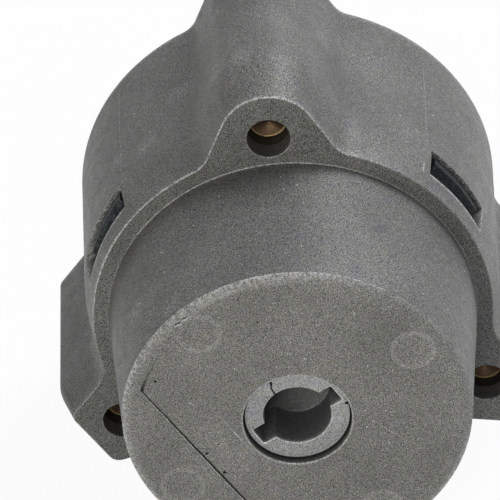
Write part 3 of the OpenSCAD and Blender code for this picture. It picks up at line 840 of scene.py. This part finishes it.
def window_tool(start, end):
    rough = [0.5 * torn.random() ** 2 for i in range(ALONG)]
    rough = [(rough[i - 1] + 2 * rough[i] + rough[(i + 1) % ALONG]) / 4 for i in range(ALONG)]
    # Painted shade: the walls darken with depth. Painted highlight, with some wear, on the front lip.
    rows = ((4.2, 0, 0, 0, 0.95),
            (2.2, 0, 0, 0, 0.95),
            (1.1, 0, 0, crumbs(0.9, 0.1), around_window(0.7, 0.9, 0.6)),
            (0.5, 0, 0, crumbs(1, 0.2), around_window(0.5, 0.9, 0.35)),
            (0.14, 0.02, 0, crumbs(1, 0.35), around_window(0.35, 0.2, 0.05)),
            (0.04, 0.06, 0, around_window(0.3, 0.55, 0.4), 0),
            (0.0, 0.1, 0.4, around_window(0.3, 0.4, 0.4), 0),
            (-0.4, 0.4, 1.0, 0, 0))
    walls = []
    for depth, grow, front, wear_and_highlight, shade_and_darkening in rows:
        jag = [v * (0.3 + 0.7 * min(depth, 1.0)) + 0.12 * torn.random() for v in rough]
        run_out = 2.6 * max(depth, 0) ** 0.7 if end - start > LONG_WINDOW else 0
        walls.append((window_loop(start, end - run_out, depth, grow, front, jag), wear_and_highlight, shade_and_darkening))
    return skin("window_tool", walls)


tools += [window_tool(start, end) for start, end in WINDOWS]
print("cutters in all:", len(tools))

# %% [markdown]
# ## Joining and cutting
#
# Blender's boolean modifier joins and cuts closed meshes. One modifier for each tool would be slow, so tools
# that don't touch are put into one mesh first. The exact solver copes with loops that lie close together,
# and it carries the wear map through each cut.

# %% Join and cut
def joined(name, parts):
    points, faces, marks = [], [], []
    for part in parts:
        first = len(points)
        points += [v.co.copy() for v in part.data.vertices]
        faces += [tuple(first + i for i in p.vertices) for p in part.data.polygons]
        marks += [tuple(d.uv) for d in part.data.uv_layers["wear_and_highlight"].data]
        bpy.data.objects.remove(part)
    return marked(name, points, faces, marks, zinc)


def bake(obj):
    graph = bpy.context.evaluated_depsgraph_get()
    mesh = bpy.data.meshes.new_from_object(obj.evaluated_get(graph))
    obj.modifiers.clear()
    obj.data = mesh


def modify(obj, kind, **settings):
    set_all(obj.modifiers.new(kind.lower(), kind), **settings)
    bake(obj)


def carve(target, parts, operation):
    tool = joined("tool", parts)
    modify(target, "BOOLEAN", operation=operation, solver="EXACT", object=tool)
    bpy.data.objects.remove(tool)


def block(corners, z_range):
    return skin("block", [([(x, y, z) for x, y in corners], 0, 0) for z in z_range])


def box_corners(x_low, x_high, half):
    return [Vector(p) for p in ((x_low, -half), (x_high, -half), (x_high, half), (x_low, half))]


def sector_corners(start, end, r_in, r_out, steps=12):
    angles = [start + (end - start) * i / steps for i in range(steps + 1)]
    return [polar(r_out, a) for a in angles] + [polar(r_in, a) for a in reversed(angles)]


print("tools for joining ready")

# %% [markdown]
# Inside the nose three ribs hold the driver's bearing and two stops limit its turn. They are cast with the
# rest, so they are joined to the skin before the cuts. So are two parting lines of the die and a short
# raised mark by the right window, each a thin ridge that swells toward its middle. Behind the ears the
# casting is hollowed out for the base.

# %% Ribs, stops, parting lines and bays
RIB_REACH, RIB_HALF, RIB_Z = (8.6, 19.8), 0.9, (9.0, 18.5)
STOPS, STOP_TURN, STOP_R, STOP_Z = (160.6, 20.4), 14, (9.0, 12.4), (2.2, 18.5)
SEAMS = ((137.6, -28.6, -7.9, 0.2, 0.05, 0.35), (43.6, -28.6, -5.5, 0.16, 0.04, 0.3),
         (44.6, -4.5, -2.3, 0.34, 0.12, 0.5))
BAY_R, BAY_NECK, BAY_FOOT = 3.4, 1.7, 19.5
BAY_Z = (-DRUM_LEN - 1, -13)


def outward(obj):
    kit = bmesh.new()
    kit.from_mesh(obj.data)
    if kit.calc_volume(signed=True) < 0:
        obj.data.flip_normals()
    kit.free()
    return obj


def ridge(angle, z_low, z_high, width, height, wear_and_highlight):
    rows = []
    for i in range(13):
        z = z_low + (z_high - z_low) * i / 12
        r, thin = drum_radius(z), 0.2 + 0.8 * sin(pi * (i + 0.3) / 12.6)
        half, top = degrees(width * thin / (2 * r)), r + height * thin
        ring = ((r - 0.3, angle - half), (r - 0.01, angle - half), (top, angle),
                (r - 0.01, angle + half), (r - 0.3, angle + half))
        rows.append(([(*polar(u, v), z) for u, v in ring], wear_and_highlight, 0))
    return outward(skin("ridge", rows))


inner = [block(turned(box_corners(*RIB_REACH, RIB_HALF), ear), RIB_Z) for ear in EARS]
inner += [block(sector_corners(start, start + STOP_TURN, *STOP_R), STOP_Z) for start in STOPS]
carve(casting, inner, "UNION")
carve(casting, [ridge(*seam) for seam in SEAMS], "UNION")

bay = arc(Vector((0, PITCH_R)), BAY_R, -60, 240, 40)
bay += [Vector((-BAY_NECK, BAY_FOOT)), Vector((BAY_NECK, BAY_FOOT))]
carve(casting, [block(turned(bay, ear - 90), BAY_Z) for ear in EARS], "DIFFERENCE")
carve(casting, tools, "DIFFERENCE")
print("casting faces after cutting:", len(casting.data.polygons))

# %% [markdown]
# By the upper left ejector mark a tongue of metal was folded over the nose's edge. A bump in the material
# would stay flat at the outline, so it is a real strip that swells twice, sways and follows the rounded
# edge. It crosses the ejector mark, so it is joined after the cuts.

# %% Fold on the nose's edge
FOLD = (Vector((-12.4, 14.9)), Vector((-10.66, 16.17)))
FOLD_STEPS = 14
FOLD_SWAY = 0.07
facing = Vector(polar(1, 133))
# Painted highlight and shadow: the fold's crest is painted bright and its feet dark.
fold = []
for i in range(FOLD_STEPS + 1):
    thin = 0.25 + 0.75 * abs(sin(2 * pi * (i + 0.3) / 14.6)) ** 0.7
    foot = FOLD[0].lerp(FOLD[1], i / FOLD_STEPS) + FOLD_SWAY * sin(0.9 * i) * facing
    z = crease_z + (FACE_Z - crease_z) * edge_rise(foot.length)
    ring = ((-0.24 * thin, 0.02), (0, -0.3), (0.24 * thin, -0.05), (0.1 * thin, 0.17 * thin),
            (-0.1 * thin, 0.17 * thin))
    fold.append(([(*(foot + u * facing), z + v) for u, v in ring], [0, 0, 0, 1, 1], [0.9, 1, 0.9, 0, 0]))
carve(casting, [outward(skin("fold", fold))], "UNION")
print("casting faces with the fold:", len(casting.data.polygons))

# %% [markdown]
# Broad faces must look flat and fillets round. More facets would do it at a high price, so shading does:
# edges sharper than 35 degrees stay crisp, and the larger faces decide how a shared corner catches the
# light. The casting then takes the place of the CAD housing.

# %% Shade the casting and hand it over
def smooth(obj, angle):
    obj.data.shade_smooth()
    obj.data.set_sharp_from_angle(angle=radians(angle))
    modify(obj, "WEIGHTED_NORMAL", keep_sharp=True)


def hand_over(obj, body, slot, *replaced):
    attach(obj, body)
    if replaced:
        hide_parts(*replaced)


smooth(casting, 35)
hand_over(casting, "housing", "cast_housing", "housing")
print("casting vertices:", len(casting.data.vertices))

# %% [markdown]
# ## Brass screws
#
# Three brass screws hold the base. In the flange holes one sees their ends: browned and flat, with fine
# rings from the lathe. Their rounded edge is painted gold, partly as bright brass and partly as a painted
# highlight. At the rear are slotted cheese heads. A true thread is a helix, but in a tapped hole no one can
# tell it from grooves, so the screw is turned as one profile. Its map holds the radius as second value, and
# from it the brass draws its rings.

# %% One screw
SCREW_R = 2.42
SCREW_END = -3.9
THREAD_PITCH = 0.8
CREST_R = SCREW_R - 0.02
HEAD_R = 4.1
HEAD_ROUND = 0.5
HEAD_Z = (-34.1, -30.91)
SLOT_HALF = 0.6
SLOT_DEPTH = 1.4
LATHE_RING = 0.12
GOLD = (0.86, 0.62, 0.32, 1)


def brass(name, base):
    material, shader = new_material(name)
    where = millimetres()
    wear_and_highlight = wear_and_shade_map()
    wave = calc("SINE", times(wear_and_highlight["Y"], 2 * pi / LATHE_RING), 0)
    tone = times(mottled(where, 0.5, 4, 0.55, 1.15), span(wave, -1, 1, 0.9, 1.08))
    feed(shader, {
        "Base Color": mixed(wear_and_highlight["X"], tinted(base, tone), GOLD),
        "Roughness": mottled(where, 1.5, 2, 0.26, 0.42),
        "Metallic": 0.9,
    })
    bump(shader, calc("ADD", wave, noise(where, 4)), 0.012)
    return material


def screw_profile():
    rows = [(r, HEAD_Z[0]) for r in (0.25, 1.2, 2.4, HEAD_R - HEAD_ROUND)]
    rows += [(HEAD_R - HEAD_ROUND + HEAD_ROUND * sin(t), HEAD_Z[0] + HEAD_ROUND * (1 - cos(t)))
             for t in quarter(4)[1:]]
    rows += [(HEAD_R, HEAD_Z[1] - 0.15), (HEAD_R - 0.15, HEAD_Z[1]), (SCREW_R + 0.1, HEAD_Z[1])]
    z = HEAD_Z[1] + 1.4
    rows += [(SCREW_R - 0.05, HEAD_Z[1] + 0.1), (SCREW_R - 0.05, z - 0.3)]
    while z < SCREW_END - 1.0:
        rows += [(SCREW_R - 0.3, z), (CREST_R, z + 0.3 * THREAD_PITCH), (CREST_R, z + 0.42 * THREAD_PITCH)]
        z += THREAD_PITCH
    rows.append((CREST_R, SCREW_END - 0.55))
    rows += [(CREST_R - 0.4 * (1 - cos(t)), SCREW_END - 0.35 * (1 - sin(t))) for t in quarter(5)]
    return rows + [(r, SCREW_END) for r in (1.6, 1.0, 0.5, 0.16)]


# Painted highlight: the rounded edge of the screw's end is gold, partly as bright brass.
def gold_and_highlight(r, z):
    if z > SCREW_END - 0.36 and 2.1 < r < SCREW_R - 0.03:
        return 0.85
    return 0.35 if z < HEAD_Z[1] else 0


screw_brass = brass("screw_brass", (0.108, 0.068, 0.043))
screw_rows = [(r, z, gold_and_highlight(r, z), r) for r, z in screw_profile()]
screw = skin("screw_blank", rings(screw_rows, steps=56), screw_brass)
slot_z = (HEAD_Z[0] - 1, HEAD_Z[0] + SLOT_DEPTH)
carve(screw, [block(box_corners(-5, 5, SLOT_HALF), slot_z)], "DIFFERENCE")
smooth(screw, 30)
print("one screw:", len(screw.data.polygons), "faces")

# %% [markdown]
# The same screw sits on all three ears. It could be copied by hand, but Geometry Nodes keeps the rule
# readable: a circle with a point for each ear, one screw on each, turned by chance as a hand would leave
# the slots. The tree ends in plain faces with the brass set.

# %% Three screws by Geometry Nodes
def geometry_tree(name, inputs):
    tree = start(bpy.data.node_groups.new(name, "GeometryNodeTree"))
    tree.interface.new_socket("Geometry", in_out="INPUT", socket_type="NodeSocketGeometry")
    for label, kind in inputs.items():
        tree.interface.new_socket(label, in_out="INPUT", socket_type="NodeSocket" + kind)
    tree.interface.new_socket("Geometry", in_out="OUTPUT", socket_type="NodeSocketGeometry")
    return tree, add("NodeGroupInput").outputs


def set_out(model, material, values):
    shape = add("GeometryNodeObjectInfo", {"Object": model}).outputs["Geometry"]
    place = add("GeometryNodeInstanceOnPoints", {"Instance": shape, **values})
    real = add("GeometryNodeRealizeInstances", {0: place.outputs[0]})
    paint = add("GeometryNodeSetMaterial", {"Geometry": real.outputs[0], "Material": material})
    add("NodeGroupOutput", {0: paint.outputs[0]})


def run_tree(obj, tree, values):
    step = obj.modifiers.new(tree.name, "NODES")
    step.node_group = tree
    for item in tree.interface.items_tree:
        if item.item_type == "SOCKET" and item.in_out == "INPUT" and item.name in values:
            step[item.identifier] = values[item.name]
    bake(obj)


def screws_tree():
    tree, given = geometry_tree("three_screws", {
        "Screw": "Object", "Pitch radius": "Float", "Brass": "Material"})
    circle = add("GeometryNodeMeshCircle", {"Vertices": len(EARS), "Radius": given["Pitch radius"]})
    stand = add("GeometryNodeTransform", {
        "Geometry": circle.outputs["Mesh"], "Rotation": (radians(90), radians(-90), 0)})
    chance = add("FunctionNodeRandomValue", {"Min": (0, 0, 0), "Max": (0, pi, 0), "Seed": 3},
                 data_type="FLOAT_VECTOR")
    set_out(given["Screw"], given["Brass"], {
        "Points": stand.outputs["Geometry"], "Rotation": chance.outputs["Value"]})
    return tree


screws = in_scene("brass_screws", bpy.data.meshes.new("brass_screws"))
run_tree(screws, screws_tree(), {"Screw": screw, "Pitch radius": PITCH_R * MM, "Brass": screw_brass})
bpy.data.objects.remove(screw)
hand_over(screws, "housing", "screw_brass", "fixing_screws")
print("three screws:", len(screws.data.polygons), "faces")

# %% [markdown]
# ## The driver
#
# The driver is a second, smoother casting. Its collar bears on the housing from inside, a lug on the collar
# meets the stops, and a square tail turns the rotor. It is round but for the lug and the tail, so it is
# turned as a profile and these two are joined on. Its side is painted dark toward the front, as shade in the
# narrow gap around it.

# %% Body of the driver
DRIVER_R = 6.25
DRIVER_Z = 19.6
RELIEF = 0.12
DRIVER_ROUND = 0.1
SHAFT_R = 4.5
COLLAR_R = 8.6
COLLAR_Z = (2.4, 4.9)
COLLAR_EDGE = 0.15
LUG = (140, 160, 7.6, 11.6)
TAIL_HALF = 2.7
TAIL_Z = (-23.6, -13.6)
front_r = DRIVER_R - RELIEF
collar_low, collar_high = COLLAR_Z
# Painted shade: the side darkens toward the front, inside the housing's bore.
profile = [(SHAFT_R - 0.3, -14.55, 0, 0), (SHAFT_R, -14.3, 0, 0), (SHAFT_R, collar_low, 0, 0),
           (COLLAR_R - COLLAR_EDGE, collar_low, 0, 0), (COLLAR_R, collar_low + COLLAR_EDGE, 0.3, 0),
           (COLLAR_R, collar_high - COLLAR_EDGE, 0.3, 0), (COLLAR_R - COLLAR_EDGE, collar_high, 0, 0),
           (DRIVER_R, collar_high, 0, 0), (DRIVER_R, 12, 0, 0.3), (DRIVER_R, DRIVER_Z - 1.4, 0, 1),
           (front_r, DRIVER_Z - 1.0, 0, 1), (front_r, DRIVER_Z - 0.2, 0, 1)]
for t in quarter(4):
    profile.append((front_r - DRIVER_ROUND * (1 - cos(t)), DRIVER_Z - DRIVER_ROUND * (1 - sin(t)),
                    0.1, 0.8 * cos(t)))
profile += [(r, DRIVER_Z, 0, 0) for r in (DRIVER_R - 0.3, 5.0, 1.0)]
driver = skin("driver_body", rings(profile, steps=96), driver_zinc)
tail = block(box_corners(-TAIL_HALF, TAIL_HALF, TAIL_HALF), TAIL_Z)
carve(driver, [tail, block(sector_corners(*LUG), COLLAR_Z)], "UNION")
print("driver body faces:", len(driver.data.polygons))

# %% [markdown]
# The lock's tail enters the driver's socket, a round hole with two wings, with a worn mouth and a small
# radius at its floor. A round cutter and two boxes would leave sharp edges where they meet, so one winged
# outline is stacked into a single cutter that flares at the mouth. A crooked slit runs from the socket to
# the rim, and there is one nick. The socket's walls darken toward its floor, the floor darkens toward the
# upper left, and the slit and the nick are dark: all of it painted shade.

# %% Socket and slit of the driver
SOCKET_R = 3.95
SOCKET_FLOOR = 13.6
WING_HALF, WING_REACH, WING_TURN = 1.175, 5.45, 28
WING_CORNER = 0.3
SLIT = ((3.4, 125.0, 0.1), (4.15, 123.6, 0.1), (4.7, 121.6, 0.08), (5.1, 120.2, 0.1), (5.4, 117.2, 0.14),
        (6.6, 115.5, 0.2))
SLIT_Z = (DRIVER_Z - 0.6, DRIVER_Z + 0.3)
NICK = (5.95, 10)


def winged(grow, z):
    r, w, reach = SOCKET_R + grow, WING_HALF + grow, WING_REACH + grow
    root = sqrt(r * r - w * w)
    low = [Vector((root, -w))] + between(Vector((root, -w)), Vector((reach - WING_CORNER, -w)), 4)
    low += arc(Vector((reach - WING_CORNER, -w + WING_CORNER)), WING_CORNER, -90, 0, 5)
    high = [Vector((p.x, -p.y)) for p in reversed(low)]
    start = degrees(atan2(w, root))
    half = low + high + arc(Vector((0, 0)), r, start, 180 - start, 40)[1:-1]
    return [(p.x, p.y, z) for p in turned(half + turned(half, 180), WING_TURN)]


def slit_side(way):
    return [polar(r, a + way * degrees(w / r)) for r, a, w in SLIT]


# Painted shade: the floor darkens toward the upper left.
shade = [min(0.95, 0.8 - 0.06 * p[0] + 0.03 * p[1]) for p in winged(-0.3, SOCKET_FLOOR)]
mouth = ((-0.3, SOCKET_FLOOR, 0, shade), (-0.1, 13.68, 0.15, shade), (0, 13.95, 0, 0.75), (0, 16.5, 0, 0.66),
         (0, 18.8, 0, 0.45), (0.01, 19.46, 0.1, 0.2), (0.03, 19.5, 1, 0), (0.16, 19.6, 0.8, 0),
         (0.3, 19.9, 0, 0))
socket = skin("socket_tool", [(winged(grow, z), wear_and_highlight, shade_and_darkening) for grow, z, wear_and_highlight, shade_and_darkening in mouth])
carve(driver, [socket], "DIFFERENCE")

# Painted shade: the slit and the nick are painted dark.
slit = slit_side(-1) + slit_side(1)[::-1]
slit_tool = skin("slit_tool", [([(x, y, z) for x, y in slit], 0, 1) for z in SLIT_Z])
nick = [(0.1, DRIVER_Z - 0.5, 0, 1), (0.2, DRIVER_Z - 0.2, 0, 1), (0.24, DRIVER_Z + 0.3, 0, 1)]
carve(driver, [slit_tool, skin("nick_tool", rings(nick, polar(*NICK), 10))], "DIFFERENCE")
smooth(driver, 32)
hand_over(driver, "driver", "cast_driver", "driver")
print("driver faces:", len(driver.data.polygons))

# %% [markdown]
# ## Plastics and strip metals
#
# The base is moulded from dark, faintly blue plastic, the rotor from brown phenolic and the detent ring from
# ivory acetal. Such plastic is mottled where it flowed and catches dust. On the latches a lighter blue grey
# is painted in patches along the windows' rear edge, more on the left. This is painted light: the latches'
# rear part is lit, and their front lies in the windows' shade. Blades, contacts and springs are of drawn or
# rolled metal, whose fine lines are a noise stretched along one axis.

# %% Plastics and strip metals
DUST = (0.5, 0.53, 0.56, 1)
LATCH_LIGHT = (0.36, 0.41, 0.45, 1)
LATCH_LIGHT_START = (5.1, 6.0)
LATCH_LIGHT_END = (7.5, 9)


def painted_latch_light(where):
    place = axes(where)
    ragged = calc("ADD", place["Y"], mottled(where, 1.6, 3, -0.7, 0.7))
    zone = times(span(ragged, *LATCH_LIGHT_START), span(place["Y"], *LATCH_LIGHT_END, 1, 0))
    patches = span(noise(where, 5), 0.35, 0.65, 0.04, 0.14)
    return times(zone, patches, span(place["X"], -10, 10, 1, 0.35))


def moulded(name, base, sheen, flow, lit_latches=False):
    material, shader = new_material(name)
    where = millimetres()
    tone = times(mottled(where, flow, 4, 0.75, 1.25), mottled(where, 3.5, 2, 0.7, 1.3))
    colour = tinted(base, tone)
    # Painted light: the latches are lighter in patches along the windows' rear edge.
    if lit_latches:
        colour = mixed(painted_latch_light(where), colour, LATCH_LIGHT)
    specks = span(noise(where, 4.3), 0.62, 0.72, 0, 0.16)
    feed(shader, {
        "Base Color": mixed(specks, colour, DUST),
        "Roughness": mottled(where, 0.6, 3, sheen, sheen + 0.14),
        "Specular IOR Level": 0.14,
    })
    bump(shader, noise(where, 2.2, 4), 0.12, 0.8)
    return material


def strip_metal(name, base, sheen, scale, metal=1.0):
    material, shader = new_material(name)
    lines = noise(millimetres(scale), 1.0, 3)
    stain = mottled(millimetres(), 0.35, 4, 0.82, 1.1)
    feed(shader, {
        "Base Color": tinted(base, times(span(lines, *NOISE_RANGE, 0.86, 1.12), stain)),
        "Roughness": span(lines, *NOISE_RANGE, sheen, sheen + 0.16),
        "Metallic": metal,
    })
    bump(shader, lines, 0.006, 0.5)
    return material


black_plastic = moulded("black_plastic", (0.006, 0.007, 0.008), 0.4, 0.2, lit_latches=True)
brown_phenolic = moulded("brown_phenolic", (0.16, 0.085, 0.05), 0.38, 0.5)
ivory_acetal = moulded("ivory_acetal", (0.72, 0.68, 0.58), 0.35, 0.15)
terminal_brass = strip_metal("terminal_brass", (0.66, 0.47, 0.2), 0.28, (3, 0.2, 3))
contact_copper = strip_metal("contact_copper", (0.62, 0.31, 0.18), 0.3, (3, 3, 0.3))
spring_steel = strip_metal("spring_steel", (0.4, 0.41, 0.42), 0.3, (2, 2, 2))
ball_steel = strip_metal("ball_steel", (0.62, 0.63, 0.64), 0.1, (0.8, 0.8, 0.8))
print("materials so far:", len(bpy.data.materials))

# %% [markdown]
# ## Base and blades
#
# The base and the four blades have flat faces and plain walls, but a mould or a punch leaves no sharp edge.
# Modelling them anew would add nothing, so a copy of each CAD piece is cleaned, its edges are softened by a
# tenth or two of a millimetre, and it takes the CAD piece's place.

# %% Softened copies of the CAD pieces
WELD = 0.002
FLAT_TURN = 0.7
BEVEL_TURN = 35


def softened(node, name, width, material):
    kit = bmesh.new()
    kit.from_mesh(nodes[node].data)
    bmesh.ops.remove_doubles(kit, verts=kit.verts, dist=WELD * MM)
    bmesh.ops.dissolve_limit(kit, angle_limit=radians(FLAT_TURN), verts=kit.verts, edges=kit.edges)
    mesh = bpy.data.meshes.new(name)
    kit.to_mesh(mesh)
    kit.free()
    mesh.materials.append(material)
    obj = in_scene(name, mesh)
    modify(obj, "BEVEL", width=width * MM, segments=2, limit_method="ANGLE", angle_limit=radians(BEVEL_TURN))
    smooth(obj, 38)
    return obj


base = softened("terminal_base", "terminal_base_moulding", 0.18, black_plastic)
hand_over(base, "housing", "black_plastic", "terminal_base")
for label in ("battery", "accessory", "ignition", "start"):
    blade = softened(label + "_terminal", label + "_blade", 0.1, terminal_brass)
    hand_over(blade, "housing", "terminal_brass", label + "_terminal")
print("base faces:", len(base.data.polygons))

# %% [markdown]
# ## Pieces inside
#
# The rotor, the bridges, the balls, the washer and the other springs only show when the switch is taken
# apart. Their CAD shapes are the real ones, so they only get their material.

# %% Materials of the inner pieces
SWITCHED = ("accessory", "ignition", "start")
INSIDE = {
    "contact_rotor": (brown_phenolic, "brown_plastic"),
    "detent_ring": (ivory_acetal, "ivory_plastic"),
    "thrust_washer": (spring_steel, "spring_steel"),
    "return_spring": (spring_steel, "spring_steel"),
}
for way in ("right", "left"):
    INSIDE[way + "_ball"] = (ball_steel, "ball_steel")
    INSIDE[way + "_ball_spring"] = (spring_steel, "spring_steel")
for label in SWITCHED:
    INSIDE[label + "_bridge"] = (contact_copper, "contact_copper")
for name, (material, slot_name) in INSIDE.items():
    piece = nodes[name]
    piece.data.materials.clear()
    piece.data.materials.append(material)
print("inner pieces:", len(INSIDE))

# %% [markdown]
# Each contact bridge floats on a small coil spring. When the bridge is pressed in, the coil must shorten by
# as much and not stick out through the copper. Here the three coils are smooth copies of the CAD springs in
# spring steel, fixed to the driver. They keep their length.

# %% Contact springs
for label in SWITCHED:
    wire = nodes[label + "_spring"].data.copy()
    wire.materials.clear()
    wire.materials.append(spring_steel)
    coil = in_scene(label + "_coil", wire)
    smooth(coil, 45)
    hand_over(coil, "driver", "spring_steel", label + "_spring")
    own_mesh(coil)

# %% [markdown]
# ## Specks of metal
#
# Where a die is worn, small beads of metal stay on the casting. They follow no drawing, only a rule: so many
# on each square centimetre, any size up to about a third of a millimetre, any turn. A bump texture has no
# outline against the light, so Geometry Nodes scatters a crooked flake over bare bands with the shape of the
# drum, the nose and the face. The tree gives back the flakes alone.

# %% Specks by Geometry Nodes
FLAKE_SIDES = 7
FLAKE_ROWS = ((0.11, -0.06), (0.1, 0.015), (0.055, 0.05))
SPECK_SIZES = (0.4, 1.3)
SPECKS_PER_M2 = 40000.0
chance = random.Random(11)


def flake_point(r, z, turn):
    x = r * chance.uniform(0.6, 1.3) * cos(turn)
    y = r * chance.uniform(0.6, 1.3) * sin(turn)
    return Vector((x, y, z)) * MM


def specks_tree():
    tree, given = geometry_tree("casting_specks", {
        "Flake": "Object", "Per square metre": "Float", "Seed": "Int", "Metal": "Material"})
    points = add("GeometryNodeDistributePointsOnFaces", {
        "Mesh": given["Geometry"], "Density": given["Per square metre"], "Seed": given["Seed"]}).outputs
    sizes = add("FunctionNodeRandomValue", {
        2: SPECK_SIZES[0], 3: SPECK_SIZES[1], "Seed": given["Seed"]}, data_type="FLOAT")
    set_out(given["Flake"], given["Metal"], {
        "Points": points["Points"], "Rotation": points["Rotation"], "Scale": sizes.outputs[1]})
    return tree


points = [flake_point(r, z, 2 * pi * i / FLAKE_SIDES) for r, z in FLAKE_ROWS for i in range(FLAKE_SIDES)]
flake = in_scene("flake", mesh_of("flake", points, net(len(FLAKE_ROWS), FLAKE_SIDES, "capped")))
flake_faces = len(flake.data.polygons)
bands = ([eared(z) for z in (-28, -22, -17, -12, -8)], [ringed(nose_radius(z), z) for z in (0.8, 10, 19)],
         [ringed(r, FACE_Z) for r in (11.3, 7.4)])
bands = [skin("band", [(loop, 0, 0) for loop in band], ends="open") for band in bands]
specks = joined("casting_specks", bands)
speck_zinc = strip_metal("speck_zinc", (0.5, 0.5, 0.48), 0.4, (3, 3, 3), 0.3)
run_tree(specks, specks_tree(), {
    "Flake": flake, "Per square metre": SPECKS_PER_M2, "Seed": 5, "Metal": speck_zinc})
bpy.data.objects.remove(flake)
hand_over(specks, "housing", "cast_housing")
print("specks:", len(specks.data.polygons) // flake_faces)

# %% [markdown]
# ## Size at the end
#
# The finished look stays within about a tenth of a millimetre of the CAD model's box: only specks and the
# fold stand proud of it. The CAD box is printed at the start and the finished box here.

# %% Print the finished size
low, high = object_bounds()
print("box in mm:", [round(v / MM, 1) for v in high - low])
